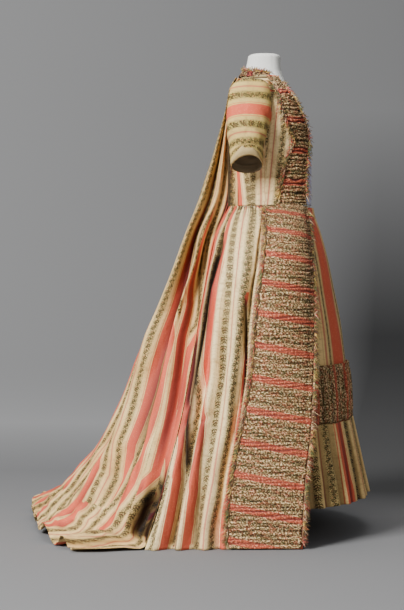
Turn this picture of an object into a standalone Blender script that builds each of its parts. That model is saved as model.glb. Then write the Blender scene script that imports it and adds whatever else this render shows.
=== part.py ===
"""Robe a la francaise with its petticoat, worn by a limbless dress form on a pole stand.

Metres, +Z up. The wearer faces -Y, so the wearer's right is -X. The origin is the middle of the
stand's foot, on the floor. Each cloth piece is a thin wall, lofted through sections that are worked
out from the short tables below.
"""

import math
from collections import namedtuple

import bmesh
import bpy
from mathutils import Vector

# --- driving sizes -------------------------------------------------------------------------------
CLOTH = 0.0012          # silk with its backing, one wall
SEAM_GAP = 0.001        # between the edges of two pieces that are sewn together
FORM_CLEARANCE = 0.004  # the cloth stands this far off the form
BODICE_STAND = FORM_CLEARANCE + CLOTH
SIDE_SEAM = math.radians(112)       # angle of the bodice's side seam from the front
SEAM_HALF_ANGLE = SEAM_GAP / 0.30   # half of the gap at that seam, as an angle at the body's radius
STOMACHER_STAND = 0.0022            # the pale panel lies under the robe's edges
STOMACHER_FOOT, STOMACHER_TOP = 0.962, 1.222
STOMACHER_TUCK = 1.16               # the panel runs this much further round than the robe's edges
RUFFLE = 0.0045         # half height of the skirt trim's waves
TRIM_MARGIN = 0.06      # the trim's edge lies this share of a face in from the skirt's
BODICE_RUFFLE = 0.0032  # half height of the bodice trim's waves
PINKED = 0.0022         # a gathered trim's crests reach this much past its troughs at the edge
GATHER_PITCH = 0.026    # one wave of a gathered trim, along the trim
TRIM_STAND = 0.0085     # a trim's middle surface above the cloth it is sewn on
BODICE_TRIM_STAND = 0.0092
FRINGE_TUFTS = 22       # tufts of floss along each edge of a skirt trim, and their size
TUFT_BASE, TUFT_LENGTH = 0.012, 0.009
BRAID_WIDTH, BRAID_THICK = 0.003, 0.002
TRIM_QUADS = 3          # faces across the skirt trim, and across the skirt under it
RIGHT, LEFT = -1, 1     # the wearer's sides, as the sign of X

# The form's and the bodice's horizontal sections: half width, and reach to the front and back.
TorsoRow = namedtuple("TorsoRow", "z half front back")
TORSO = (
    TorsoRow(1.408, 0.047, 0.049, 0.048),
    TorsoRow(1.375, 0.050, 0.050, 0.055),
    TorsoRow(1.352, 0.060, 0.055, 0.062),
    TorsoRow(1.332, 0.086, 0.064, 0.070),
    TorsoRow(1.312, 0.122, 0.077, 0.080),
    TorsoRow(1.290, 0.150, 0.092, 0.087),
    TorsoRow(1.250, 0.166, 0.115, 0.092),
    TorsoRow(1.200, 0.163, 0.130, 0.095),
    TorsoRow(1.140, 0.153, 0.137, 0.094),
    TorsoRow(1.060, 0.139, 0.139, 0.091),
    TorsoRow(0.990, 0.128, 0.139, 0.088),
    TorsoRow(0.940, 0.127, 0.138, 0.087),
    TorsoRow(0.900, 0.138, 0.139, 0.095),
)
TORSO_POWER = 2.3       # a little squarer than an ellipse

# The robe's front edge on the bodice, from the waist up and round to the nape.
EdgeRow = namedtuple("EdgeRow", "z x")
FRONT_EDGE = (
    EdgeRow(1.352, 0.062),
    EdgeRow(1.330, 0.088),
    EdgeRow(1.300, 0.124),
    EdgeRow(1.254, 0.130),
    EdgeRow(1.200, 0.113),
    EdgeRow(1.150, 0.102),
    EdgeRow(1.080, 0.107),
    EdgeRow(1.020, 0.102),
    EdgeRow(0.950, 0.090),
)

# The robe's open skirt, right half: its front edge, the back edge of the trimmed front panel, and
# the seam with the sack back. x is the distance from the middle.
SkirtRow = namedtuple("SkirtRow", "z front_x front_y side_x side_y back_x back_y")
SKIRT = (
    SkirtRow(0.9555, 0.084, -0.121, 0.156, 0.000, 0.088, 0.104),
    SkirtRow(0.925, 0.120, -0.123, 0.208, -0.003, 0.118, 0.120),
    SkirtRow(0.886, 0.167, -0.126, 0.262, -0.004, 0.152, 0.136),
    SkirtRow(0.794, 0.250, -0.131, 0.335, 0.001, 0.202, 0.156),
    SkirtRow(0.694, 0.300, -0.136, 0.375, 0.015, 0.246, 0.174),
    SkirtRow(0.579, 0.345, -0.136, 0.405, 0.026, 0.291, 0.192),
    SkirtRow(0.459, 0.385, -0.134, 0.428, 0.036, 0.335, 0.212),
    SkirtRow(0.330, 0.420, -0.130, 0.446, 0.060, 0.380, 0.236),
    SkirtRow(0.190, 0.448, -0.116, 0.463, 0.087, 0.430, 0.270),
    SkirtRow(0.080, 0.462, -0.109, 0.476, 0.100, 0.470, 0.300),
    SkirtRow(0.0006, 0.470, -0.107, 0.485, 0.102, 0.500, 0.328),
)

# Folds of the side skirt. at runs from the trimmed panel (0) to the back seam (1); depth is outward.
Fold = namedtuple("Fold", "at width depth starts")
SIDE_FOLDS = (
    Fold(0.13, 0.050, -0.020, 0.955),
    Fold(0.27, 0.070, 0.014, 0.950),
    Fold(0.44, 0.060, -0.012, 0.880),
    Fold(0.58, 0.060, 0.013, 0.930),
    Fold(0.73, 0.055, -0.022, 0.940),
    Fold(0.87, 0.055, 0.016, 0.940),
)
FOLD_GROWTH = 0.30      # height over which a fold opens to its whole depth

# The sack back, from the nape to the end of the train: its middle, and its side edge. Below the
# waist the side edge follows the skirt's back seam at edge_z, and so has no edge_x of its own.
SackRow = namedtuple("SackRow", "mid_y mid_z edge_z edge_x edge_y open_ flat")
SACK = (
    SackRow(0.086, 1.340, 1.336, 0.074, 0.065, 0.00, 0.0),
    SackRow(0.104, 1.300, 1.295, 0.086, 0.0885, 0.00, 0.0),
    SackRow(0.120, 1.225, 1.215, 0.090, 0.0975, 0.00, 0.0),
    SackRow(0.141, 1.150, 1.135, 0.091, 0.0975, 0.00, 0.0),
    SackRow(0.162, 1.080, 1.060, 0.090, 0.0955, 0.02, 0.0),
    SackRow(0.193, 0.985, 0.962, 0.089, 0.106, 0.06, 0.0),
    SackRow(0.232, 0.880, 0.860, None, None, 0.16, 0.0),
    SackRow(0.264, 0.780, 0.765, None, None, 0.30, 0.0),
    SackRow(0.300, 0.680, 0.670, None, None, 0.48, 0.0),
    SackRow(0.341, 0.580, 0.570, None, None, 0.66, 0.0),
    SackRow(0.380, 0.475, 0.465, None, None, 0.82, 0.0),
    SackRow(0.416, 0.372, 0.360, None, None, 0.94, 0.0),
    SackRow(0.456, 0.280, 0.250, None, None, 1.00, 0.1),
    SackRow(0.498, 0.198, 0.140, None, None, 1.00, 0.25),
    SackRow(0.536, 0.130, 0.050, None, None, 1.00, 0.45),
    SackRow(0.560, 0.084, 0.0006, None, None, 1.00, 0.65),
    SackRow(0.578, 0.052, 0.0006, 0.520, 0.385, 1.00, 0.8),
    SackRow(0.592, 0.028, 0.0006, 0.545, 0.450, 1.00, 0.9),
    SackRow(0.600, 0.012, 0.0006, 0.550, 0.520, 1.00, 1.0),
)
TRAIN_SWEEP = 0.35      # the train's end lies a little to the wearer's left

# The sack's folds, right half, from the side edge to the middle. across is a share of the half
# width and out a share of the depth; wave lifts the opened folds off the train's smooth curve, and
# tuck draws them in towards the middle, which leaves a deep hollow beside the side skirt.
Knot = namedtuple("Knot", "across out open_across wave tuck")
PLEAT_KNOTS = (
    Knot(1.00, 0.00, 1.000, 0.000, 0.000),
    Knot(0.70, 0.10, 0.985, -0.006, 0.090),
    Knot(0.58, 0.28, 0.955, -0.004, 0.100),
    Knot(0.96, 0.37, 0.915, 0.014, 0.010),
    Knot(1.06, 0.47, 0.865, 0.018, 0.000),
    Knot(0.78, 0.57, 0.800, -0.014, 0.000),
    Knot(0.58, 0.67, 0.725, -0.020, 0.000),
    Knot(0.86, 0.80, 0.640, 0.012, 0.000),
    Knot(0.92, 0.93, 0.550, 0.022, 0.000),
    Knot(0.60, 1.00, 0.450, 0.004, 0.000),
    Knot(0.32, 1.02, 0.350, -0.012, 0.000),
    Knot(0.10, 1.00, 0.245, 0.008, 0.000),
    Knot(0.06, 0.90, 0.135, 0.016, 0.000),
    Knot(0.14, 0.80, 0.060, 0.004, 0.000),
)
TRAIN_POWER = 3.0       # how squarely the opened train turns its corners

# The petticoat's sections over its hoop, all round.
HoopRow = namedtuple("HoopRow", "z half front back")
PETTICOAT = (
    HoopRow(0.954, 0.140, 0.1460, 0.098),
    HoopRow(0.925, 0.172, 0.152, 0.106),
    HoopRow(0.886, 0.220, 0.166, 0.118),
    HoopRow(0.794, 0.296, 0.191, 0.132),
    HoopRow(0.694, 0.340, 0.210, 0.144),
    HoopRow(0.579, 0.370, 0.231, 0.158),
    HoopRow(0.459, 0.392, 0.245, 0.176),
    HoopRow(0.330, 0.406, 0.255, 0.200),
    HoopRow(0.210, 0.416, 0.262, 0.222),
    HoopRow(0.108, 0.424, 0.268, 0.240),
)
PETTICOAT_FRONT_FOLDS = 9
PETTICOAT_FOLD_DEPTH = 0.0035

# The shirred heading and the pleated flounce on the petticoat's front.
HEADING_TOP, HEADING_FOOT = 0.497, 0.332
HEADING_STAND = 0.0065
HEADING_WAVES = 26
HEADING_WAVE = 0.0028
HEADING_PUFF = 0.004    # how far it stands fuller halfway down
FLOUNCE_FOOT = 0.104
FLOUNCE_STAND = 0.0065
FLOUNCE_SPREAD = 0.032  # the flounce's hem stands this much further out than its head
FLOUNCE_PLEATS = 15
FLOUNCE_PLEAT = 0.0085
PLEAT_SHAPE = (0.0, 1.0, 0.85, -0.15)   # a pleat's four points across, in pleat heights
FLOUNCE_HALF_ANGLE = math.radians(72)

# The sleeve's rings: middle, radii, and the ring's tilt from facing sideways (0) to down (90).
# The first ring is the armhole seam, which lies on the bodice and so needs no x of its own.
SleeveRow = namedtuple("SleeveRow", "x y z tall deep tilt")
SLEEVE = (
    SleeveRow(None, 0.036, 1.247, 0.078, 0.055, 0),
    SleeveRow(0.176, 0.043, 1.236, 0.070, 0.056, 8),
    SleeveRow(0.193, 0.048, 1.203, 0.062, 0.057, 22),
    SleeveRow(0.205, 0.050, 1.168, 0.055, 0.055, 38),
    SleeveRow(0.211, 0.051, 1.136, 0.051, 0.051, 50),
    SleeveRow(0.214, 0.050, 1.109, 0.048, 0.048, 60),
    SleeveRow(0.217, 0.050, 1.083, 0.047, 0.045, 66),
)
SLEEVE_OVERLAP = 0.0046 # the armhole seam stands this far off the bodice
SLEEVE_ARCH = 0.032     # the cuff is cut this much shorter in front, over the bend of the arm
ARCH_STARTS = 0.05      # below the armhole's middle
ARCH_TURN = math.radians(18)    # the arch's top lies this far forward of the sleeve's outer side
ARMHOLE = (0.036, 1.247, 0.047, 0.069)   # middle y and z, then its half depth and half height
ARMHOLE_X = 0.185       # the cutter's middle, whose ends are 0.1 to either side

# The ruffle at the nape: its rows, its waves and how far round it reaches.
RuffleRow = namedtuple("RuffleRow", "z stand")
NECK_RUFFLE = (
    RuffleRow(1.367, 0.0085),
    RuffleRow(1.358, 0.0110),
    RuffleRow(1.349, 0.0135),
)
NECK_WAVES, NECK_WAVE = 14, 0.0022
NECK_REACH = math.radians(102)

# The width of the trim on the bodice: narrow over the shoulder and the bust, wide at the waist.
WidthRow = namedtuple("WidthRow", "z wide")
BODICE_TRIM = (
    WidthRow(1.350, 0.032),
    WidthRow(1.300, 0.044),
    WidthRow(1.250, 0.066),
    WidthRow(1.200, 0.073),
    WidthRow(1.148, 0.058),
    WidthRow(1.105, 0.066),
    WidthRow(1.030, 0.073),
    WidthRow(0.985, 0.084),
    WidthRow(0.950, 0.100),
)
TRIM_TOP, TRIM_LENGTH = 1.344, 0.43
EDGE_OVERHANG = 0.012   # angle by which that trim hangs over the robe's edge

POLE_RADIUS = 0.016
FOOT_RADIUS, FOOT_THICK = 0.118, 0.014


# --- reading the tables --------------------------------------------------------------------------
def smooth_at(keys, values, key):
    """A smooth curve through (keys, values), without overshoot beyond its neighbours' slopes."""
    if keys[0] > keys[-1]:
        keys, values = keys[::-1], values[::-1]
    key = min(max(key, keys[0]), keys[-1])
    i = max(n for n in range(len(keys) - 1) if keys[n] <= key)
    slopes = []
    for n in (i, i + 1):
        around = [m for m in (n - 1, n) if 0 <= m < len(keys) - 1]
        steps = [(values[m + 1] - values[m]) / (keys[m + 1] - keys[m]) for m in around]
        level = len(steps) == 2 and steps[0] * steps[1] <= 0
        slopes.append(0.0 if level else sum(steps) / len(steps))
    span = keys[i + 1] - keys[i]
    t = (key - keys[i]) / span
    return (
        values[i] * (2 * t**3 - 3 * t**2 + 1)
        + values[i + 1] * (3 * t**2 - 2 * t**3)
        + slopes[0] * span * (t**3 - 2 * t**2 + t)
        + slopes[1] * span * (t**3 - t**2)
    )


def row_at(table, z):
    """The table's row at any height."""
    heights = [row.z for row in table]
    columns = zip(*table)
    return type(table[0])(*(smooth_at(heights, list(column), z) for column in columns))


def ease(t):
    t = min(max(t, 0.0), 1.0)
    return t * t * (3 - 2 * t)


def spaced(first, last, count):
    return [first + (last - first) * n / (count - 1) for n in range(count)]


# --- sections ------------------------------------------------------------------------------------
def egg(angle, half, front, back, power):
    """A point of a section, by its angle from the front: positive towards the wearer's left."""
    s, c = math.sin(angle), math.cos(angle)
    reach = front if c > 0 else back
    x = half * math.copysign(abs(s) ** (2 / power), s)
    y = -reach * math.copysign(abs(c) ** (2 / power), c)
    return x, y


def torso_point(angle, z, stand):
    row = row_at(TORSO, z)
    x, y = egg(angle, row.half + stand, row.front + stand, row.back + stand, TORSO_POWER)
    return Vector((x, y, z))


def edge_angle(z, stand):
    """Where the robe's front edge lies on the bodice's section."""
    half = row_at(TORSO, z).half + stand
    share = min(row_at(FRONT_EDGE, z).x / half, 0.999)
    return math.asin(share ** (TORSO_POWER / 2))


def petticoat_point(angle, z, stand=0.0):
    row = row_at(PETTICOAT, z)
    folds = math.cos(angle * PETTICOAT_FRONT_FOLDS * 2) * PETTICOAT_FOLD_DEPTH
    drop = ease((PETTICOAT[0].z - z) / FOLD_GROWTH)
    out = stand + folds * drop * ease(2 * math.cos(angle))
    x, y = egg(angle, row.half + out, row.front + out, row.back + out, 2.0)
    return Vector((x, y, z))


def skirt_point(share, z, side, stand=0.0):
    """The robe's skirt: share 0 is its front edge, 0.5 the trim's back edge, 1 the back seam."""
    row = row_at(SKIRT, z)
    polar = [
        (math.atan2(x, -y), math.hypot(x, y))
        for x, y in (
            (row.front_x, row.front_y),
            (row.side_x, row.side_y),
            (row.back_x, row.back_y),
        )
    ]
    blend = (
        (1 - share) * (1 - 2 * share),
        4 * share * (1 - share),
        share * (2 * share - 1),
    )
    angle = sum(b * p[0] for b, p in zip(blend, polar))
    radius = sum(b * p[1] for b, p in zip(blend, polar)) + stand
    behind = 2 * share - 1
    for fold in SIDE_FOLDS:
        grown = ease((fold.starts - z) / FOLD_GROWTH)
        radius += fold.depth * grown * math.exp(-(((behind - fold.at) / fold.width) ** 2))
    return Vector((side * radius * math.sin(angle), -radius * math.cos(angle), z))


def sack_section(row):
    """The sack's points across, from the wearer's right edge over the middle to the left edge."""
    edge_x, edge_y = row.edge_x, row.edge_y
    if edge_x is None:
        seam = row_at(SKIRT, row.edge_z)
        edge_x, edge_y = seam.back_x, seam.back_y
    edge_y += SEAM_GAP + CLOTH
    deep = row.mid_y - edge_y
    half = []
    for knot in PLEAT_KNOTS:
        open_across = knot.open_across - knot.tuck
        across = knot.across + (open_across - knot.across) * row.open_
        open_out = 1 - knot.open_across**TRAIN_POWER
        out = knot.out + (open_out - knot.out) * row.open_
        lift = knot.wave * ease(1.3 * row.open_)
        height = row.edge_z + (row.mid_z - row.edge_z) * out
        swell = lift * (1 - row.flat) / max(deep, 0.03)
        half.append((across, out + swell, height + max(lift + 0.012, 0.0) * row.flat))
    middle = (0.0, 0.80 + (1.0 - 0.80) * row.open_, row.mid_z)
    points = []
    for side, knots in ((RIGHT, half), (0, [middle]), (LEFT, half[::-1])):
        for across, out, height in knots:
            x = side * across * edge_x
            sweep = TRAIN_SWEEP * (x + edge_x) * 0.5 * row.flat
            points.append(Vector((x, edge_y + deep * out + sweep, max(height, 0.0006))))
    return points


def beside_bodice(y, z, stand):
    """How far out the torso's side is, stand included, at a place seen from the side."""
    row = row_at(TORSO, z)
    reach = (row.front if y < 0 else row.back) + stand
    return (row.half + stand) * (1 - (abs(y) / reach) ** TORSO_POWER) ** (1 / TORSO_POWER)


def sleeve_point(angle, row, side, arch):
    """A point of a sleeve's ring: angle 0 is the top or outer side, 90 degrees the front."""
    tilt = math.radians(row.tilt)
    up, forward = math.cos(angle) * row.tall, math.sin(angle) * row.deep
    if row.x is None:
        y, z = row.y - forward, row.z + up
        return Vector((side * beside_bodice(y, z, BODICE_STAND + SLEEVE_OVERLAP), y, z))
    front_top = max(0.0, math.cos(angle - ARCH_TURN))
    return Vector(
        (
            side * (row.x + up * math.sin(tilt)),
            row.y - forward,
            row.z + up * math.cos(tilt) + arch * front_top**1.5,
        )
    )


# --- making pieces -------------------------------------------------------------------------------
def material(name, colour, roughness, metallic=0.0):
    made = bpy.data.materials.new(name)
    made.use_nodes = True
    shader = made.node_tree.nodes["Principled BSDF"]
    shader.inputs["Base Color"].default_value = (*colour, 1.0)
    shader.inputs["Roughness"].default_value = roughness
    shader.inputs["Metallic"].default_value = metallic
    return made


def new_object(name, points, faces, finish, parts):
    mesh = bpy.data.meshes.new(name)
    mesh.from_pydata([tuple(p) for p in points], [], faces)
    mesh.shade_smooth()
    mesh.materials.append(finish)
    made = bpy.data.objects.new(name, mesh)
    parts.objects.link(made)
    return made


def lofted(name, sections, finish, parts, closed=False):
    """One open surface through sections that each have the same number of points."""
    wide = len(sections[0])
    columns = wide if closed else wide - 1
    faces = []
    for r in range(len(sections) - 1):
        for c in range(columns):
            d = (c + 1) % wide
            faces.append((r * wide + c, r * wide + d, (r + 1) * wide + d, (r + 1) * wide + c))
    return new_object(name, [p for s in sections for p in s], faces, finish, parts)


def walled(name, sections, finish, parts, **how):
    """A cloth wall: the lofted surface is its middle."""
    made = lofted(name, sections, finish, parts, **how)
    solid = made.modifiers.new("cloth wall", "SOLIDIFY")
    solid.thickness = CLOTH
    solid.offset = 0.0
    return made


def solid_stack(name, rings, finish, parts):
    """A closed solid through level rings, from the top down, each running clockwise from above."""
    made = lofted(name, rings, finish, parts, closed=True)
    mesh = made.data
    wide, count = len(rings[0]), len(rings)
    faces = [tuple(p.vertices) for p in mesh.polygons]
    faces.append(tuple(range(wide))[::-1])
    faces.append(tuple((count - 1) * wide + n for n in range(wide)))
    points = [v.co.copy() for v in mesh.vertices]
    mesh.clear_geometry()
    mesh.from_pydata(points, [], faces)
    mesh.shade_smooth()
    mesh.set_sharp_from_angle(angle=math.radians(50))
    return made


def adopt(made, name, collection):
    """Names a primitive and moves it from the open collection to its own."""
    made.name = name
    for old in list(made.users_collection):
        old.objects.unlink(made)
    collection.objects.link(made)
    return made


def cut(target, cutter):
    """Takes the cutter's shape out of the target."""
    boolean = target.modifiers.new("cut", "BOOLEAN")
    boolean.operation = "DIFFERENCE"
    boolean.object = cutter


# --- the dress form ------------------------------------------------------------------------------
def build_form(finishes, parts):
    sides = 26
    heights = [row.z for row in TORSO]
    rings = []
    for z in heights:
        rings.append([torso_point(-math.tau * n / sides, z, 0.0) for n in range(sides)])
    crown = [Vector((p.x * 0.72, p.y * 0.72, p.z + 0.008)) for p in rings[0]]
    solid_stack("form_torso", [crown, *rings], finishes["cover"], parts)

    bottom = TORSO[-1].z - 0.0005
    bpy.ops.mesh.primitive_cylinder_add(
        vertices=20, radius=POLE_RADIUS, depth=bottom - FOOT_THICK - 0.0005
    )
    pole = adopt(bpy.context.object, "form_pole", parts)
    pole.location.z = (bottom + FOOT_THICK + 0.0005) / 2
    bpy.ops.mesh.primitive_cylinder_add(vertices=28, radius=FOOT_RADIUS, depth=FOOT_THICK)
    foot = adopt(bpy.context.object, "form_foot", parts)
    foot.location.z = FOOT_THICK / 2
    for piece in (pole, foot):
        piece.data.materials.append(finishes["metal"])
    edge = foot.modifiers.new("rounded edge", "BEVEL")
    edge.width = 0.003
    edge.segments = 2
    edge.limit_method = "ANGLE"


# --- the bodice ----------------------------------------------------------------------------------
def bodice_heights():
    return [0.9585, 1.000, 1.060, 1.120, 1.180, 1.230, 1.270, 1.300, 1.318, 1.333, 1.347]


def build_stomacher(finishes, parts):
    """The plain pale panel that fills the bodice's open front, under the robe's edges."""
    sections = []
    for z in spaced(STOMACHER_FOOT, STOMACHER_TOP, 8):
        reach = edge_angle(z, STOMACHER_STAND) * STOMACHER_TUCK
        line = [torso_point(a, z, STOMACHER_STAND) for a in spaced(-reach, reach, 11)]
        sections.append(line)
    walled("stomacher", sections, finishes["lilac"], parts)


def armhole_cutter(side, cutters):
    y, z, deep, tall = ARMHOLE
    bpy.ops.mesh.primitive_cylinder_add(vertices=24, radius=1.0, depth=0.2)
    word = "right" if side == RIGHT else "left"
    cutter = adopt(bpy.context.object, "armhole_cutter_" + word, cutters)
    for vertex in cutter.data.vertices:
        x0, y0, z0 = vertex.co
        vertex.co = (side * ARMHOLE_X + z0, y + x0 * deep, z + y0 * tall)
    cutter.hide_render = True
    cutter.display_type = "WIRE"
    return cutter


def build_bodice(finishes, parts, cutters):
    hole = {side: armhole_cutter(side, cutters) for side in (RIGHT, LEFT)}
    for side, word in ((RIGHT, "right"), (LEFT, "left")):
        sections = []
        for z in bodice_heights():
            first = edge_angle(z, BODICE_STAND)
            last = SIDE_SEAM - SEAM_HALF_ANGLE
            sections.append(
                [torso_point(side * a, z, BODICE_STAND) for a in spaced(first, last, 11)]
            )
        front = walled("bodice_front_" + word, sections, finishes["silk"], parts)
        cut(front, hole[side])
    first = SIDE_SEAM + SEAM_HALF_ANGLE
    sections = []
    for z in bodice_heights():
        sections.append(
            [torso_point(a, z, BODICE_STAND) for a in spaced(first, math.tau - first, 14)]
        )
    back = walled("bodice_back", sections, finishes["silk"], parts)
    for side in (RIGHT, LEFT):
        cut(back, hole[side])


def build_sleeve(side, word, finishes, parts):
    around = 16
    sections = []
    for row in SLEEVE:
        starts = SLEEVE[0].z - ARCH_STARTS
        drop = ease((starts - row.z) / (starts - SLEEVE[-1].z))
        ring = [
            sleeve_point(math.tau * n / around, row, side, SLEEVE_ARCH * drop)
            for n in range(around)
        ]
        sections.append(ring)
    walled("sleeve_" + word, sections, finishes["silk"], parts, closed=True)


# --- the robe's skirts ---------------------------------------------------------------------------
def skirt_heights():
    """Level with the sack's rows, so that the two edges of their seam run side by side."""
    return [0.9555, 0.935, 0.905] + [row.edge_z for row in SACK if row.edge_x is None]


def skirt_shares():
    """Few points under the trim, and close ones over the folds behind it."""
    return spaced(0.0, 0.5, TRIM_QUADS + 1) + spaced(0.5, 1.0, 21)[1:]


def build_skirt_side(side, word, finishes, parts):
    sections = []
    for z in skirt_heights():
        sections.append([skirt_point(s, z, side) for s in skirt_shares()])
    walled("robe_skirt_" + word, sections, finishes["silk"], parts)


def build_sack(finishes, parts):
    sections = [sack_section(row) for row in SACK]
    walled("sack_back", sections, finishes["silk"], parts)


# --- trims ---------------------------------------------------------------------------------------
def on_faceted(sections, across, down):
    """The point of a lofted piece's own flat quads at (across, down), counted in quads."""
    r, c = min(int(down), len(sections) - 2), min(int(across), len(sections[0]) - 2)
    v, u = down - r, across - c
    upper = sections[r][c].lerp(sections[r][c + 1], u)
    lower = sections[r + 1][c].lerp(sections[r + 1][c + 1], u)
    return upper.lerp(lower, v)


def lifted(sections, stand_at):
    """The sections moved out along their own normals; stand_at(row, column) says how far."""
    rows, wide = len(sections), len(sections[0])
    moved = []
    for r in range(rows):
        line = []
        for c in range(wide):
            along = sections[min(r + 1, rows - 1)][c] - sections[max(r - 1, 0)][c]
            across = sections[r][min(c + 1, wide - 1)] - sections[r][max(c - 1, 0)]
            normal = across.cross(along).normalized()
            line.append(sections[r][c] + normal * stand_at(r, c))
        moved.append(line)
    return moved


def wave(row, height):
    """Two rows to a gather: a trough, then a crest."""
    return height if row % 2 else -height


def trim_lines(side, heights):
    """Lines across the skirt's own faces, under its trim, at these heights."""
    base = [[skirt_point(s, z, side) for s in skirt_shares()] for z in skirt_heights()]
    levels = skirt_heights()
    lines = []
    for z in heights:
        n = max(i for i in range(len(levels) - 1) if levels[i] >= z)
        down = n + (levels[n] - z) / (levels[n] - levels[n + 1])
        across = [TRIM_MARGIN, *range(1, TRIM_QUADS), TRIM_QUADS - TRIM_MARGIN]
        lines.append([on_faceted(base, c, down) for c in across])
    return lines


def build_skirt_trim(side, word, finishes, parts):
    """The gathered panel down the robe's front, made from the skirt's own faces."""
    top, foot, length = 0.9525, 0.0035, 1.12
    rows = 2 * round(length / GATHER_PITCH) + 1
    sections = trim_lines(side, spaced(top, foot, rows))
    for r, line in enumerate(sections):
        grown = (line[-1] - line[0]).normalized() * wave(r, PINKED)
        line[0] -= grown
        line[-1] += grown
    moved = lifted(sections, lambda r, c: -side * (TRIM_STAND + wave(r, RUFFLE)))
    for line in moved:
        for point in line:
            point.z = max(point.z, 0.0012)
    walled("trim_skirt_" + word, moved, finishes["trim"], parts)


def build_fly_fringe(side, word, finishes, parts):
    """A narrow braid beside each edge of the skirt trim, with its tufts of floss standing out."""
    top, foot = 0.942, 0.030
    heights = []
    for n in range(FRINGE_TUFTS + 1):
        z = top + (foot - top) * n / FRINGE_TUFTS
        heights += [z, z - TUFT_BASE]
    on_skirt = trim_lines(side, heights)
    lines = lifted(on_skirt, lambda r, c: -side * TRIM_STAND)
    for edge, inner, place in ((0, 1, "front"), (-1, -2, "back")):
        shape = bmesh.new()
        rings = []
        for line, below in zip(lines, on_skirt):
            outward = (line[edge] - line[inner]).normalized()
            raised = (line[edge] - below[edge]).normalized() * BRAID_THICK / 2
            root = line[edge] + outward * (PINKED + SEAM_GAP)
            side_points = (root, root + outward * BRAID_WIDTH + raised)
            rings.append(
                [shape.verts.new(p) for p in (*side_points, side_points[1] - raised * 2)]
            )
        for n, (ring, after) in enumerate(zip(rings, rings[1:])):
            shape.faces.new((ring[0], ring[1], after[1], after[0]))
            shape.faces.new((ring[2], ring[0], after[0], after[2]))
            outer = (ring[1], ring[2], after[2], after[1])
            if n % 2:
                shape.faces.new(outer)
                continue
            middle = sum((v.co for v in outer), Vector()) / 4
            outward = (middle - (ring[0].co + after[0].co) / 2).normalized()
            tip = shape.verts.new(middle + outward * TUFT_LENGTH)
            for a, b in zip(outer, outer[1:] + outer[:1]):
                shape.faces.new((a, b, tip))
        shape.faces.new(rings[0][::-1])
        shape.faces.new(rings[-1])
        bmesh.ops.recalc_face_normals(shape, faces=shape.faces)
        mesh = bpy.data.meshes.new("fly_fringe")
        shape.to_mesh(mesh)
        shape.free()
        mesh.materials.append(finishes["fringe"])
        fringe = bpy.data.objects.new("fringe_skirt_" + word + "_" + place, mesh)
        parts.objects.link(fringe)


def build_bodice_trim(side, word, finishes, parts):
    """The gathered robing up the bodice's front edge to the side of the neck."""
    foot = 0.9605
    stand = BODICE_STAND + BODICE_TRIM_STAND
    rows = 2 * round(TRIM_LENGTH / GATHER_PITCH) + 1
    sections = []
    for z in spaced(TRIM_TOP, foot, rows):
        torso = row_at(TORSO, z)
        first = edge_angle(z, stand) - EDGE_OVERHANG
        last = first + row_at(BODICE_TRIM, z).wide / (0.5 * (torso.half + torso.front))
        sections.append([torso_point(side * a, z, stand) for a in spaced(first, last, 5)])
    moved = lifted(sections, lambda r, c: -side * wave(r, BODICE_RUFFLE))
    walled("trim_bodice_" + word, moved, finishes["trim"], parts)


def build_neck_ruffle(finishes, parts):
    """The gathered strip that stands round the back of the neck, over the head of the pleats."""
    columns = 2 * NECK_WAVES + 1
    sections = []
    for row in NECK_RUFFLE:
        line = []
        for n, angle in enumerate(spaced(math.pi - NECK_REACH, math.pi + NECK_REACH, columns)):
            line.append(torso_point(angle, row.z, row.stand + wave(n, NECK_WAVE)))
        sections.append(line)
    walled("trim_neck", sections, finishes["trim"], parts)


# --- the petticoat -------------------------------------------------------------------------------
def build_petticoat(finishes, parts):
    """Close points in front, where it shows, and few behind."""
    front = spaced(-math.radians(88), math.radians(88), 27)
    back = spaced(math.radians(88), math.radians(272), 11)[1:-1]
    sections = [[petticoat_point(a, row.z) for a in front + back] for row in PETTICOAT]
    walled("petticoat", sections, finishes["silk"], parts, closed=True)


def build_heading(finishes, parts):
    """The shirred band, pinched in towards its top and bottom and full in between."""
    columns = 2 * HEADING_WAVES + 1
    reach = FLOUNCE_HALF_ANGLE
    sections = []
    rows = 4
    for n, z in enumerate(spaced(HEADING_TOP, HEADING_FOOT + 0.001, rows)):
        full = HEADING_PUFF * math.sin(math.pi * n / (rows - 1))
        line = []
        for c, angle in enumerate(spaced(-reach, reach, columns)):
            waved = HEADING_WAVE if c % 2 else -HEADING_WAVE
            line.append(petticoat_point(angle, z, HEADING_STAND + full + waved))
        sections.append(line)
    walled("petticoat_heading", sections, finishes["trim"], parts)


def build_flounce(finishes, parts):
    """Pleats that hang from the heading and open towards the hem."""
    steps = 4 * FLOUNCE_PLEATS + 1
    sections = []
    rows = 4
    for n, z in enumerate(spaced(HEADING_FOOT - 0.001, FLOUNCE_FOOT, rows)):
        drop = n / (rows - 1)
        line = []
        for c, angle in enumerate(spaced(-FLOUNCE_HALF_ANGLE, FLOUNCE_HALF_ANGLE, steps)):
            shape = PLEAT_SHAPE[c % 4]
            in_front = ease(2.2 * math.cos(angle) - 0.3)
            pleat = FLOUNCE_PLEAT * shape * (0.35 + 0.65 * drop) * (0.55 + 0.45 * in_front)
            out = FLOUNCE_STAND + FLOUNCE_SPREAD * drop * (0.25 + 0.75 * in_front) + pleat
            line.append(petticoat_point(angle, z, out))
        sections.append(line)
    walled("petticoat_flounce", sections, finishes["silk"], parts)


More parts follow.
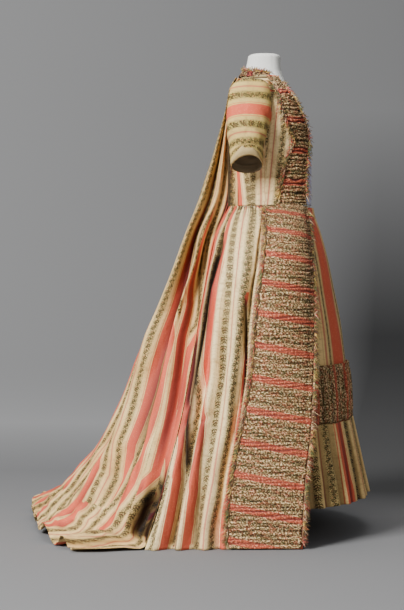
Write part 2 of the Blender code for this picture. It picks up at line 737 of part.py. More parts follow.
# --- the whole -----------------------------------------------------------------------------------
def main():
    for old in list(bpy.data.objects):
        bpy.data.objects.remove(old)
    parts = bpy.data.collections.new("robe_a_la_francaise")
    cutters = bpy.data.collections.new("cutters")
    for collection in (parts, cutters):
        bpy.context.scene.collection.children.link(collection)
    finishes = {
        "silk": material("striped_silk", (0.76, 0.62, 0.44), 0.55),
        "trim": material("gathered_silk", (0.58, 0.38, 0.27), 0.6),
        "fringe": material("fly_fringe", (0.25, 0.13, 0.07), 0.8),
        "lilac": material("lilac_cotton", (0.62, 0.61, 0.74), 0.75),
        "cover": material("form_cover", (0.80, 0.79, 0.75), 0.7),
        "metal": material("stand_metal", (0.20, 0.20, 0.21), 0.45, 0.8),
    }
    build_form(finishes, parts)
    build_stomacher(finishes, parts)
    build_bodice(finishes, parts, cutters)
    for side, word in ((RIGHT, "right"), (LEFT, "left")):
        build_sleeve(side, word, finishes, parts)
        build_skirt_side(side, word, finishes, parts)
        build_skirt_trim(side, word, finishes, parts)
        build_fly_fringe(side, word, finishes, parts)
        build_bodice_trim(side, word, finishes, parts)
    build_sack(finishes, parts)
    build_neck_ruffle(finishes, parts)
    build_petticoat(finishes, parts)
    build_heading(finishes, parts)
    build_flounce(finishes, parts)


main()
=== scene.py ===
import math

import bpy
import numpy as np
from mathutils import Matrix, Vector


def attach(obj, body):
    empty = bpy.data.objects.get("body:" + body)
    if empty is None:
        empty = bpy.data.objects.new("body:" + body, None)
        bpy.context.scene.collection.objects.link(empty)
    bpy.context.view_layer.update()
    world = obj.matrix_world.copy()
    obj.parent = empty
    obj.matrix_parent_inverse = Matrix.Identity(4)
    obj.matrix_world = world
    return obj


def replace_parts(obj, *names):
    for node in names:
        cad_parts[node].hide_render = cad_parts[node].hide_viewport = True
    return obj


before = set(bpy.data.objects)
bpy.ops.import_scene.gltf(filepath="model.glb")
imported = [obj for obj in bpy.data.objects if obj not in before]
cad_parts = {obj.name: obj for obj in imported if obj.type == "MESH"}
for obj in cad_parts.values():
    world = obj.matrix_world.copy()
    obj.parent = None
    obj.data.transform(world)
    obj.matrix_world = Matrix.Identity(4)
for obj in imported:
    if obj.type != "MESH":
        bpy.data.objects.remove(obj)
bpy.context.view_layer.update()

print("frame loaded")

right, left = -1, 1     # the wearer's sides, as the sign of X
sides = ((right, "right"), (left, "left"))
tau = math.tau
mm = 1000               # millimetres in a metre


# reading tables and bending lines
def smoothAt(keys, values, at):
    # a smooth line through (keys, values) without overshoot, read at one key or at an array
    order = np.argsort(keys)
    k, v = np.asarray(keys, float)[order], np.asarray(values, float)[order]
    steps = np.diff(v) / np.diff(k)
    slopes = np.concatenate([steps[:1], (steps[:-1] + steps[1:]) / 2, steps[-1:]])
    slopes[1:-1][steps[:-1] * steps[1:] <= 0] = 0
    at = np.clip(at, k[0], k[-1])
    i = np.clip(np.searchsorted(k, at, side="right") - 1, 0, len(k) - 2)
    span = k[i + 1] - k[i]
    t = (at - k[i]) / span
    return (
        v[i] * (2 * t**3 - 3 * t**2 + 1)
        + v[i + 1] * (3 * t**2 - 2 * t**3)
        + slopes[i] * span * (t**3 - 2 * t**2 + t)
        + slopes[i + 1] * span * (t**3 - t**2)
    )


def rowAt(table, z):
    # the other columns of a table whose first column is the height
    columns = list(zip(*table))
    return [float(smoothAt(columns[0], c, z)) for c in columns[1:]]


def pathAt(path, z):
    # a short list of (height, value), straight between its points
    keys, values = zip(*sorted(path))
    return np.interp(z, keys, values)


def ease(t):
    t = np.clip(t, 0.0, 1.0)
    return t * t * (3 - 2 * t)


def bell(distance, width):
    return np.exp(-((distance / width) ** 2))


def crease(distance, width):
    # narrower at its bottom than a bell, as a pressed or hanging fold is
    return np.exp(-np.abs(distance / width) ** 1.35)


def egg(angle, half, front, back, power):
    # a level section by its angle from the front, positive to the wearer's left
    s, c = np.sin(angle), np.cos(angle)
    reach = np.where(c > 0, front, back)
    x = half * np.sign(s) * np.abs(s) ** (2 / power)
    y = -reach * np.sign(c) * np.abs(c) ** (2 / power)
    return x, y


def stacked(x, y, z):
    return np.stack(np.broadcast_arrays(x, y, z), axis=-1).astype(float)


def lengthsAcross(grid):
    # running length along each row of a grid of points
    steps = np.linalg.norm(np.diff(grid, axis=1), axis=2)
    return np.concatenate([np.zeros((len(grid), 1)), np.cumsum(steps, axis=1)], axis=1)


def lengthsDown(grid):
    steps = np.linalg.norm(np.diff(grid, axis=0), axis=2)
    return np.concatenate([np.zeros((1, grid.shape[1])), np.cumsum(steps, axis=0)], axis=0)


def gridNormals(grid, closed=False):
    if closed:
        across = np.roll(grid, -1, axis=1) - np.roll(grid, 1, axis=1)
    else:
        across = np.gradient(grid, axis=1)
    along = np.gradient(grid, axis=0)
    normal = np.cross(across, along)
    return normal / np.maximum(np.linalg.norm(normal, axis=2, keepdims=True), 1e-9)


def splineWeights(count, samples):
    # the share that each of count points has in samples points of the smooth line through them
    weights = np.zeros((samples, count))
    for n, at in enumerate(np.linspace(0, count - 1, samples)):
        i = min(int(at), count - 2)
        t = at - i
        shares = (
            (-t + 2 * t**2 - t**3) / 2,
            (2 - 5 * t**2 + 3 * t**3) / 2,
            (t + 4 * t**2 - 3 * t**3) / 2,
            (-t**2 + t**3) / 2,
        )
        for step, share in enumerate(shares):
            weights[n, min(max(i + step - 1, 0), count - 1)] += share
    return weights


def roughness(shape, cells, seed):
    # smooth random heights from -1 to 1 over a grid, with about cells = (down, across) lumps
    source = np.random.RandomState(seed).uniform(-1, 1, (cells[0] + 1, cells[1] + 1))
    down = splineWeights(cells[0] + 1, shape[0])
    across = splineWeights(cells[1] + 1, shape[1])
    return down @ source @ across.T


# meshes from grids of points
def newPiece(name, mesh, finishes):
    for finish in finishes:
        mesh.materials.append(finish)
    piece = bpy.data.objects.new(name, mesh)
    bpy.context.scene.collection.objects.link(piece)
    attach(piece, "root")
    return piece


def gridMesh(name, grid, u, v, closed=False, outward=1, deep=None):
    # u and v are in metres; u may hold one value for each corner of each face instead.
    # deep is the painted shade at each point, from 0 to 1, darkest down in a fold; it goes into the uv
    # layer fold
    rows, wide = grid.shape[:2]
    columns = wide if closed else wide - 1
    r, c = np.meshgrid(np.arange(rows - 1), np.arange(columns), indexing="ij")
    d = (c + 1) % wide
    corners = np.stack([r * wide + c, r * wide + d, (r + 1) * wide + d, (r + 1) * wide + c], -1)
    if u.ndim == 2:
        across = cornersOf(u)
    else:
        across = u
    down = cornersOf(v)
    shadeCorners = np.zeros_like(down) if deep is None else cornersOf(np.clip(deep, 0, 1))
    if outward < 0:
        corners, across, down = corners[..., ::-1], across[..., ::-1], down[..., ::-1]
        shadeCorners = shadeCorners[..., ::-1]
    faces = corners.reshape(-1, 4)
    mesh = bpy.data.meshes.new(name)
    mesh.vertices.add(rows * wide)
    mesh.vertices.foreach_set("co", grid.reshape(-1).astype(np.float32))
    mesh.loops.add(faces.size)
    mesh.loops.foreach_set("vertex_index", faces.reshape(-1).astype(np.int32))
    mesh.polygons.add(len(faces))
    mesh.polygons.foreach_set("loop_start", np.arange(0, faces.size, 4, dtype=np.int32))
    mesh.update(calc_edges=True)
    for layer, first, second in (("cloth", across, down), ("fold", shadeCorners, shadeCorners * 0)):
        made = mesh.uv_layers.new(name=layer)
        uv = np.stack([first.reshape(-1), second.reshape(-1)], -1).astype(np.float32)
        made.data.foreach_set("uv", uv.reshape(-1))
    mesh.shade_smooth()
    mesh.validate()
    return mesh


def clothPiece(name, grid, u, v, finishes, slot, thick=0.0009, **how):
    piece = newPiece(name, gridMesh(name, grid, u, v, **how), finishes)
    wall = piece.modifiers.new("cloth thickness", "SOLIDIFY")
    wall.thickness = thick
    wall.offset = 0.0
    if len(finishes) > 1:
        wall.material_offset = 1
    return piece


def ringed(values):
    # the first column again after the last, for a piece that closes on itself
    return np.concatenate([values, values[:, :1]], axis=1)


def cornersOf(values):
    return np.stack([values[:-1, :-1], values[:-1, 1:], values[1:, 1:], values[1:, :-1]], -1)


def panelled(grid, panels, columns, sense=-1):
    # u at each face's corners: each panel keeps its own stripe straight down its middle line.
    # a panel is (end, middle, place, scales): arrays down the rows of columns, the stripe's own u,
    # and how closely the pattern is drawn together before and after the stripe
    lengths = lengthsAcross(grid)
    rows = np.arange(len(grid))
    places = []
    for end, middle, place, scales in panels:
        at = np.array([np.interp(middle[r], columns, lengths[r]) for r in rows])
        away = lengths - at[:, None]
        away *= np.where(away < 0, scales[0][:, None], scales[1][:, None])
        places.append(place + sense * away)
    middles = (columns[:-1] + columns[1:]) / 2
    owner = np.zeros((len(grid) - 1, len(columns) - 1), int)
    for n, (end, *_) in enumerate(panels[:-1]):
        edge = (end[:-1] + end[1:]) / 2
        owner += middles[None, :] > edge[:, None]
    u = np.zeros((*owner.shape, 4))
    for n, values in enumerate(places):
        mine = owner == n
        u[mine] = cornersOf(values)[mine]
    return u


# shader wiring
class Wire:
    # one output socket; arithmetic on it adds Math nodes
    def __init__(self, tree, socket=None):
        self.tree = tree
        self.socket = socket

    def add(self, kind, settings=None, sockets=None, output=0):
        made = self.tree.nodes.new("ShaderNode" + kind)
        for key, value in (settings or {}).items():
            if key == "stops":
                while len(made.color_ramp.elements) < len(value):
                    made.color_ramp.elements.new(0.5)
                for element, (at, colour) in zip(made.color_ramp.elements, value):
                    element.position = at
                    element.color = (*colour, 1)
            else:
                setattr(made, key, value)
        for key, value in (sockets or {}).items():
            if isinstance(value, Wire):
                self.tree.links.new(value.socket, made.inputs[key])
            else:
                made.inputs[key].default_value = value
        return Wire(self.tree, made.outputs[output])

    def maths(self, operation, *values, clamp=False):
        settings = {"operation": operation, "use_clamp": clamp}
        return self.add("Math", settings, dict(enumerate(values)))

    def __add__(self, other):
        return self.maths("ADD", self, other)

    __radd__ = __add__

    def __sub__(self, other):
        return self.maths("SUBTRACT", self, other)

    def __rsub__(self, other):
        return self.maths("SUBTRACT", other, self)

    def __mul__(self, other):
        return self.maths("MULTIPLY", self, other)

    __rmul__ = __mul__

    def __truediv__(self, other):
        return self.maths("DIVIDE", self, other)

    def __abs__(self):
        return self.maths("ABSOLUTE", self)

    def fract(self):
        return self.maths("FRACT", self)

    def sine(self):
        return self.maths("SINE", self)

    def clamped(self):
        return self.maths("MULTIPLY", self, 1.0, clamp=True)

    def largest(self, other):
        return self.maths("MAXIMUM", self, other)

    def within(self, limit, soft):
        # 1 where this value is below the limit, 0 above it, over a soft edge
        return self.maths("MULTIPLY_ADD", self, -1 / soft, limit / soft + 0.5, clamp=True)


def above(field, level, slope):
    # 0 where the field lies under the level, rising to 1 over it
    return ((field - level) * slope).clamped()


def below(field, level, slope):
    return ((level - field) * slope).clamped()


def mixed(wire, share, first, second):
    settings = {"data_type": "RGBA"}
    return wire.add("Mix", settings, {0: share, 6: first, 7: second}, output=2)


def clothPlace(wire):
    # metres across and along the cloth
    uv = wire.add("UVMap", {"uv_map": "cloth"})
    parts = wire.add("SeparateXYZ", None, {0: uv})
    along = Wire(wire.tree, parts.socket.node.outputs[1])
    return uv, parts, along


def noise(wire, place, scale, detail=2.0, rough=0.5):
    return wire.add(
        "TexNoise",
        {"noise_dimensions": "3D"},
        {"Vector": place, "Scale": scale, "Detail": detail, "Roughness": rough},
    )


def finished(name, paint, **constants):
    # a material whose paint function gives the links, and whose constants sit on the shader
    made = bpy.data.materials.new(name)
    made.use_nodes = True
    tree = made.node_tree
    shader = tree.nodes["Principled BSDF"]
    for key, value in constants.items():
        shader.inputs[key.replace("_", " ")].default_value = value
    for key, value in paint(Wire(tree)).items():
        tree.links.new(value.socket, shader.inputs[key])
    return made


def leaf(across, along, at, turn, size):
    # 1 inside a leaf, in millimetres
    c, s = math.cos(math.radians(turn)), math.sin(math.radians(turn))
    x = (across - at[0]) * (c / size[0]) + (along - at[1]) * (s / size[0])
    y = (along - at[1]) * (c / size[1]) - (across - at[0]) * (s / size[1])
    return (x * x + y * y).within(1.0, 0.5)


def leavesOf(across, along, shapes):
    whole = leaf(across, along, *shapes[0])
    for shape in shapes[1:]:
        whole = whole.largest(leaf(across, along, *shape))
    return whole


# the striped silk; lengths in metres, leaves in millimetres
silkLook = {
    "repeat": 0.138,                # one coral stripe to the next
    "waver": (60.0, 0.0011),        # how fine the stripes' waver is, and how far it reaches
    "soft": 0.0006,
    "fine": 0.0005,
    "coralHalf": 0.0165,
    "teeth": (0.0023, 0.0016),      # the coral's toothed edge, one tooth to the next and how deep
    "figure": (260.0, 7.0, 3.9),
    "figureInside": (0.8, 0.0008),  # its share of the coral's width, and its soft edge
    "coralEdgeLine": (0.0202, 0.0009),
    "columnAt": 0.0435,             # the two sprig columns stand this far to either side of the coral
    "columnEdge": (0.0128, 0.0005),
    "columnTint": (0.0108, 0.0030, 0.42),
    "rosePlace": 0.0690,
    "roseHalf": 0.0024,
    "roseSideLine": (0.0046, 0.0005),
    "shake": (420.0, 2.6),
    "bouquetStep": 0.0265,
    "bouquetLeaves": (              # where, turned by, half length and half width
        ((4.6, 3.6), 40, (4.8, 1.9)),
        ((4.8, -4.2), 25, (4.6, 1.8)),
        ((2.3, 9.2), 66, (3.6, 1.5)),
    ),
    "bouquetPetals": (((0.0, 1.0), 0, (2.3, 2.5)), ((7.6, -0.4), 0, (1.8, 1.8))),
    "stem": (0.8, 0.5),
    "stemReach": (9.5, 0.8),
    "garlandStep": 0.0185,
    "garlandBend": 1.9,
    "garlandLeaves": (((3.7, -4.2), 38, (4.2, 1.8)), ((-3.7, 4.4), 38, (4.2, 1.8))),
    "garlandPairs": (((3.2, 0.0), -32, (3.4, 1.5)),),
    "garlandPetals": (((-3.6, -5.0), 0, (1.9, 1.9)), ((3.4, 6.4), 0, (1.6, 1.6))),
    "speckNoise": (360.0, 1.5),
    "speckEdge": (0.475, 11),       # a level and how steeply the specks rise over it
    "speckColumn": (0.0105, 0.0050),
    "specks": 0.95,
    "mottleScale": 7.0,
    "worn": (2.4, 0.75),
    "shadeScale": 31.0,
    "crumple": (46.0, 3.0, 0.6),
    "crumpleShadeEdge": (0.46, 6, 0.55),
    "threadScale": 170.0,
    "threadEdge": (0.47, 7, 0.40),
    "coralMix": (0.3, 0.7),
    "shares": {"tan": 0.45, "coral": 0.96, "line": 0.75, "rose": 0.75, "petal": 0.8, "leaf": 0.94},
    "ground": (0.900, 0.650, 0.285, 1),
    "groundWorn": (0.760, 0.465, 0.170, 1),
    # crease is the colour of painted shade in the crumples' hollows, and also of darker threads at random
    "crease": (0.470, 0.290, 0.120, 1),
    "coral": (0.690, 0.090, 0.046, 1),
    "coralPale": (0.790, 0.200, 0.105, 1),
    "rose": (0.520, 0.120, 0.080, 1),
    "tan": (0.480, 0.270, 0.100, 1),
    "leafGround": (0.400, 0.320, 0.100, 1),
    "leaf": (0.022, 0.026, 0.008, 1),
    "leafBrown": (0.075, 0.036, 0.010, 1),
    "petal": (0.330, 0.060, 0.035, 1),
    # painted shade for the folds: its dark tone, its brown and its dark coral
    "foldShadeTone": (0.065, 0.041, 0.032, 1),
    "foldShadeBrown": (0.110, 0.080, 0.056, 1),
    "coralShade": (0.240, 0.048, 0.085, 1),
    "foldShadeShares": (0.60, 0.75, 0.35),       # of the brown, of the dark coral and of the gamma
    "ribStep": 0.0011,
    "relief": {"rib": 0.12, "leaf": 0.35, "coral": 0.12, "rose": 0.1, "crumple": 3.6, "drape": 7.0},
    "hanging": (38.0, 5.0, 1.0),            # the small creases run down the cloth
    "bump": (0.70, 0.0009),
    "gloss": (0.50, 0.16, 0.05),
    "sheen": (0.02, 0.45),
    "specular": 0.16,
}


def silkPattern(wire, look):
    uv, across, along = clothPlace(wire)
    scale, reach = look["waver"]
    across = across + (noise(wire, uv, scale, 1.0) - 0.5) * reach
    t = ((across / look["repeat"] + 0.5).fract() - 0.5) * look["repeat"]
    away = abs(t)

    soft, fine = look["soft"], look["fine"]
    step, depth = look["teeth"]
    teeth = abs((along / step).fract() - 0.5) * depth
    scale, steep, level = look["figure"]
    figure = noise(wire, uv, scale, 1.0) * steep - level
    coral = (away + teeth).within(look["coralHalf"], soft)
    line, half = look["coralEdgeLine"]
    coralLine = abs(away - line).within(half, fine)
    column = abs(away - look["columnAt"])
    line, half = look["columnEdge"]
    tanLine = abs(column - line).within(half, soft)
    fromRose = look["rosePlace"] - away
    rose = fromRose.within(look["roseHalf"], fine)
    line, half = look["roseSideLine"]
    tanLine = tanLine.largest(abs(fromRose - line).within(half, soft))

    scale, reach = look["shake"]
    wobble = wire.add("VectorMath", {"operation": "SCALE"}, {0: uv, "Scale": scale})
    shaky = (noise(wire, wobble, 1.0, 1.0) - 0.5) * reach
    # bouquets on one side of the coral
    a = (t - look["columnAt"]) * mm + shaky
    step = look["bouquetStep"]
    b = ((along / step).fract() - 0.5) * (step * mm) + shaky
    side = abs(a)
    leaves = leavesOf(side, b, look["bouquetLeaves"])
    leaves = leaves.largest(side.within(*look["stem"]) * abs(b + 1).within(*look["stemReach"]))
    petals = leavesOf(side, b, look["bouquetPetals"])
    # a garland on the other side
    step = look["garlandStep"]
    bend = (along * (tau / (2 * step))).sine() * look["garlandBend"]
    c = (t + look["columnAt"]) * mm + shaky - bend
    d = ((along / step).fract() - 0.5) * (step * mm) - shaky
    leaves = leaves.largest(leavesOf(c, d, look["garlandLeaves"]))
    leaves = leaves.largest(leavesOf(abs(c), d, look["garlandPairs"]))
    leaves = leaves.largest(abs(c).within(*look["stem"]))
    petals = petals.largest(leavesOf(c, d, look["garlandPetals"]))
    # the small leaves between, too fine to draw one by one
    specks = above(noise(wire, uv, *look["speckNoise"]), *look["speckEdge"])
    leaves = leaves.largest(specks * column.within(*look["speckColumn"]) * look["specks"])

    mottled = noise(wire, uv, look["mottleScale"], 3.0)
    shade = noise(wire, uv, look["shadeScale"], 2.0)
    steep, level = look["worn"]
    worn = (mottled * steep - level).clamped()
    colour = mixed(wire, worn, look["ground"], look["groundWorn"])
    crumple = noise(wire, uv, *look["crumple"])
    threads = noise(wire, uv, look["threadScale"], 2.0)
    # painted shade where the crumples lie low, and darker threads at random, both in the crease colour
    for field, (level, slope, share) in (
        (crumple, look["crumpleShadeEdge"]),
        (threads, look["threadEdge"]),
    ):
        colour = mixed(wire, below(field, level, slope) * share, colour, look["crease"])
    half, edge, share = look["columnTint"]
    colour = mixed(wire, column.within(half, edge) * share, colour, look["leafGround"])
    shares = look["shares"]
    colour = mixed(wire, tanLine * shares["tan"], colour, look["tan"])
    share, edge = look["figureInside"]
    inside = away.within(look["coralHalf"] * share, edge)
    plainShare, figuredShare = look["coralMix"]
    figured = (figure * inside).clamped()
    pale = shade * plainShare + figured * figuredShare
    coralTone = mixed(wire, pale, look["coral"], look["coralPale"])
    colour = mixed(wire, coral * shares["coral"], colour, coralTone)
    colour = mixed(wire, coralLine * shares["line"], colour, look["coral"])
    colour = mixed(wire, rose * shares["rose"], colour, look["rose"])
    leafTone = mixed(wire, shade, look["leaf"], look["leafBrown"])
    colour = mixed(wire, petals * shares["petal"], colour, look["petal"])
    colour = mixed(wire, leaves * shares["leaf"], colour, leafTone)
    if "flecks" in look:
        colour = flecked(wire, look, uv, coral, colour)
    # painted shade deep in a fold: browner and darker, as where light has bounced off the silk many times
    deep = wire.add("SeparateXYZ", None, {0: wire.add("UVMap", {"uv_map": "fold"})})
    brownShare, coralShare, gammaShare = look["foldShadeShares"]
    colour = mixed(wire, deep * brownShare, colour, look["foldShadeBrown"])
    colour = mixed(wire, coral * deep * coralShare, colour, look["coralShade"])
    colour = wire.add("Gamma", None, {0: colour, 1: deep * gammaShare + 1})
    colour = wire.add(
        "Mix",
        {"data_type": "RGBA", "blend_type": "MULTIPLY"},
        {0: deep, 6: colour, 7: look["foldShadeTone"]},
        output=2,
    )

    # the ribs of the weave, the raised figure of the sprigs, and soft crumples
    relief = look["relief"]
    rib = (along * (tau / look["ribStep"])).sine() * relief["rib"]
    raised = leaves * relief["leaf"] + coral * relief["coral"] + rose * relief["rose"]
    hanging = wire.add("VectorMath", {"operation": "MULTIPLY"}, {0: uv, 1: look["hanging"]})
    drape = noise(wire, hanging, 1.0, 2.0, 0.5)
    height = rib + raised + crumple * relief["crumple"] + drape * relief["drape"]
    strength, distance = look["bump"]
    normal = wire.add(
        "Bump", None, {"Strength": strength, "Distance": distance, "Height": height}
    )
    base, uneven, smooth = look["gloss"]
    gloss = base + mottled * uneven - coral * smooth
    return {"Base Color": colour, "Roughness": gloss, "Normal": normal}


def flecked(wire, look, uv, coral, colour):
    # gathered so closely, the cloth shows as flecks of light and shade
    fleck = look["flecks"]
    grain = noise(wire, uv, fleck["scale"], *fleck["grain"])
    kind = noise(wire, uv, fleck["scale"] * fleck["kind"][0], 1.0)
    blush = noise(wire, uv, fleck["scale"] * fleck["blush"][0], 1.0)
    colour = mixed(wire, above(blush, *fleck["blush"][1:3]) * fleck["blush"][3], colour, look["coralPale"])
    level, slope, kept, share = fleck["darkEdge"]
    dark = above(grain, level, slope) * (1 - coral * kept)
    dull = mixed(wire, above(kind, *fleck["kind"][1:]), fleck["dark"], fleck["green"])
    colour = mixed(wire, dark * share, colour, dull)
    level, slope, kept, share = fleck["lightEdge"]
    light = below(grain, level, slope) * (1 - coral * kept)
    return mixed(wire, light * share, colour, fleck["light"])


def silkCloth(name, look):
    sheen, sheenRoughness = look["sheen"]
    return finished(
        name,
        lambda wire: silkPattern(wire, look),
        Sheen_Weight=sheen,
        Sheen_Roughness=sheenRoughness,
        Specular_IOR_Level=look["specular"],
    )


# a lighter copy of the silk for the bodice and the robe's skirt: painted light
litCopyLook = {
    **silkLook,
    "ground": (1.000, 0.790, 0.425, 1),
    "groundWorn": (0.890, 0.620, 0.290, 1),
}
# a darker, slightly yellower copy of the silk for the sleeves: painted shade
sleeveShadedLook = {
    **silkLook,
    "specks": 1.0,
    "leafGround": (0.290, 0.240, 0.060, 1),
    "ground": (0.720, 0.530, 0.175, 1),
    "groundWorn": (0.600, 0.400, 0.105, 1),
}
# the silk gathered for the trims: its ground drawn darker as painted shade of the gathers
ruchedShadedLook = {
    **silkLook,
    "ground": (0.800, 0.560, 0.270, 1),
    "groundWorn": (0.620, 0.390, 0.170, 1),
    "coral": (0.660, 0.075, 0.040, 1),
    "coralPale": (0.740, 0.170, 0.090, 1),
    "rose": (0.300, 0.100, 0.045, 1),
    "leaf": (0.050, 0.046, 0.014, 1),
    "leafBrown": (0.120, 0.056, 0.018, 1),
    "coralHalf": 0.0150,
    "bouquetStep": 0.0135,
    "garlandStep": 0.0115,
    "sheen": (0.02, 0.5),
    "specular": 0.14,
    "flecks": {
        "scale": 175.0,
        "grain": (2.0, 0.7),                # detail and roughness
        "kind": (0.4, 0.45, 8),             # its share of the scale, then a level and a slope
        "blush": (0.3, 0.5, 7, 0.55),
        "darkEdge": (0.462, 16, 0.30, 0.96),    # level, slope, how much coral stays, share
        "lightEdge": (0.440, 16, 0.55, 0.768),
        "dark": (0.115, 0.042, 0.016, 1),
        "green": (0.058, 0.052, 0.014, 1),
        "light": (0.900, 0.720, 0.430, 1),
    },
}
silk = silkCloth("striped_silk_cloth", silkLook)
litCopySilk = silkCloth("striped_silk_painted_light", litCopyLook)
sleeveShadedSilk = silkCloth("striped_silk_sleeve_shaded", sleeveShadedLook)
ruched = silkCloth("gathered_silk_cloth", ruchedShadedLook)


# plain woven cloths
weave = {
    "mottleScale": 9.0,
    "crumple": (40.0, 3.0, 0.6),
    "relief": (0.2, 1.6),           # of the threads and of the crumples
    "distance": 0.0008,
    "gloss": (0.68, 0.15),
}


def plainWeave(wire, colour, worn, step, strength):
    uv, across, along = clothPlace(wire)
    mottled = noise(wire, uv, weave["mottleScale"], 3.0)
    tone = mixed(wire, mottled, colour, worn)
    threads = (across * (tau / step)).sine() * (along * (tau / step)).sine()
    crumple = noise(wire, uv, *weave["crumple"])
    height = threads * weave["relief"][0] + crumple * weave["relief"][1]
    normal = wire.add(
        "Bump", None, {"Strength": strength, "Distance": weave["distance"], "Height": height}
    )
    gloss = weave["gloss"][0] + mottled * weave["gloss"][1]
    return {"Base Color": tone, "Roughness": gloss, "Normal": normal}


def wovenCloth(name, colour, worn, step, strength, **constants):
    return finished(
        name, lambda wire: plainWeave(wire, (*colour, 1), (*worn, 1), step, strength), **constants
    )


lilac = wovenCloth(
    "lilac_cotton_cloth", (0.66, 0.65, 0.80), (0.58, 0.57, 0.70), 0.0009, 0.4, Sheen_Weight=0.1
)
# its dark brown is partly the lining's own colour and partly painted shade for the insides of the sleeves
liningInShade = wovenCloth("linen_lining_shaded", (0.24, 0.17, 0.09), (0.16, 0.105, 0.05), 0.0008, 0.4)
cuffLining = wovenCloth("pale_linen_lining", (0.58, 0.43, 0.19), (0.42, 0.29, 0.12), 0.0008, 0.6)
coverCloth = wovenCloth("dress_form_cover", (0.80, 0.80, 0.75), (0.74, 0.74, 0.69), 0.0007, 0.25)


flossLook = {
    "colours": (
        (0.00, (0.230, 0.100, 0.030)),
        (0.20, (0.150, 0.170, 0.040)),
        (0.38, (0.360, 0.240, 0.050)),
        (0.50, (0.760, 0.480, 0.110)),
        (0.62, (0.150, 0.045, 0.018)),
        (0.74, (0.600, 0.080, 0.040)),
        (0.88, (0.720, 0.480, 0.260)),
    ),
    "soil": (0.10, 0.06, 0.03, 1),
    "soilScale": 30.0,
    "soilShare": 0.2,
    "threads": 900,
    "relief": (0.5, 0.0004),        # the bump's strength and distance
}


def flossPaint(wire):
    # each tuft takes one of the floss colours; along runs from root to tip
    uv, which, along = clothPlace(wire)
    colour = wire.add("ValToRGB", {"stops": flossLook["colours"]}, {0: which})
    colour.socket.node.color_ramp.interpolation = "CONSTANT"
    threads = (along * flossLook["threads"]).sine()
    strength, distance = flossLook["relief"]
    normal = wire.add("Bump", None, {"Strength": strength, "Distance": distance, "Height": threads})
    soil = noise(wire, uv, flossLook["soilScale"]) * flossLook["soilShare"]
    return {"Base Color": mixed(wire, soil, colour, flossLook["soil"]), "Normal": normal}


floss = finished("silk_floss", flossPaint, Roughness=0.62, Sheen_Weight=0.2)


metalLook = {
    "dark": (0.075, 0.078, 0.084, 1),
    "pale": (0.16, 0.16, 0.165, 1),
    "scuffs": (38.0, 4.0),
    "fine": (420.0, 2.0),
    "relief": (0.3, 0.0003),
    "gloss": (0.32, 0.25),
}


def metalPaint(wire):
    place = wire.add("TexCoord", None, None, output=3)
    scuffs = noise(wire, place, *metalLook["scuffs"])
    tone = mixed(wire, scuffs, metalLook["dark"], metalLook["pale"])
    strength, distance = metalLook["relief"]
    fine = noise(wire, place, *metalLook["fine"])
    normal = wire.add("Bump", None, {"Strength": strength, "Distance": distance, "Height": fine})
    least, more = metalLook["gloss"]
    return {"Base Color": tone, "Roughness": least + scuffs * more, "Normal": normal}


standMetal = finished("painted_stand_metal", metalPaint, Metallic=0.7)
print("finishes mixed")


# the dress form
torso = {
    "rows": (   # height, half width, reach to the front, reach to the back
        (1.408, 0.047, 0.049, 0.048),
        (1.375, 0.050, 0.050, 0.055),
        (1.352, 0.060, 0.055, 0.062),
        (1.332, 0.086, 0.064, 0.070),
        (1.312, 0.122, 0.077, 0.080),
        (1.290, 0.150, 0.092, 0.087),
        (1.250, 0.166, 0.115, 0.092),
        (1.200, 0.163, 0.130, 0.095),
        (1.140, 0.153, 0.137, 0.094),
        (1.060, 0.139, 0.139, 0.091),
        (0.990, 0.128, 0.139, 0.088),
        (0.940, 0.127, 0.138, 0.087),
        (0.900, 0.138, 0.139, 0.095),
    ),
    "power": 2.3,
    "crownRise": 0.008,
    "crown": (0.0, 0.30, 0.58, 0.72, 0.82, 0.90, 0.96),     # the flat crown and its rounded edge
    "crownPower": 6,
    "hem": (0.97, 0.9, 0.5, 0.02),
    "hemDrop": 0.0003,
    "least": 0.02,              # a ring is never drawn in further than this
    "rounds": 96,
    "levels": 110,
    "seamDepth": 0.0007,
    "seamSpread": 3.0,          # in degrees
    "collar": (1.366, 0.0012),
    "seamAngles": (0, 62, 118, 180, 242, 298),
}


def torsoPoints(angles, z, stand):
    half, front, back = rowAt(torso["rows"], z)
    x, y = egg(angles, half + stand, front + stand, back + stand, torso["power"])
    return stacked(x, y, z)


def buildForm():
    angles = -np.linspace(0, tau, torso["rounds"], endpoint=False)
    top, foot = torso["rows"][0][0], torso["rows"][-1][0]
    rings = []
    for share in torso["crown"]:
        ring = torsoPoints(angles, top, 0.0)
        ring[:, :2] *= max(share, torso["least"])
        ring[:, 2] += torso["crownRise"] * (1 - share ** torso["crownPower"])
        rings.append(ring)
    seams = [
        bell((np.degrees(angles) % 360 - a + 180) % 360 - 180, torso["seamSpread"])
        for a in torso["seamAngles"]
    ]
    collarAt, collarWidth = torso["collar"]
    for z in np.linspace(top, foot, torso["levels"]):
        groove = np.maximum(sum(seams), bell(z - collarAt, collarWidth))
        rings.append(torsoPoints(angles, z, -torso["seamDepth"] * groove))
    last = rings[-1]
    for share in torso["hem"]:
        ring = last.copy()
        ring[:, :2] *= share
        ring[:, 2] -= torso["hemDrop"] * (1 - share)
        rings.append(ring)
    grid = np.array(rings)
    u = lengthsAcross(ringed(grid))
    v = lengthsDown(grid)
    mesh = gridMesh("form_cover", grid, u, ringed(v), closed=True)
    cover = newPiece("form_cover", mesh, [coverCloth])
    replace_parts(cover, "form_torso")
    for node in ("form_pole", "form_foot"):
        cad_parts[node].data.materials.clear()
        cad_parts[node].data.materials.append(standMetal)


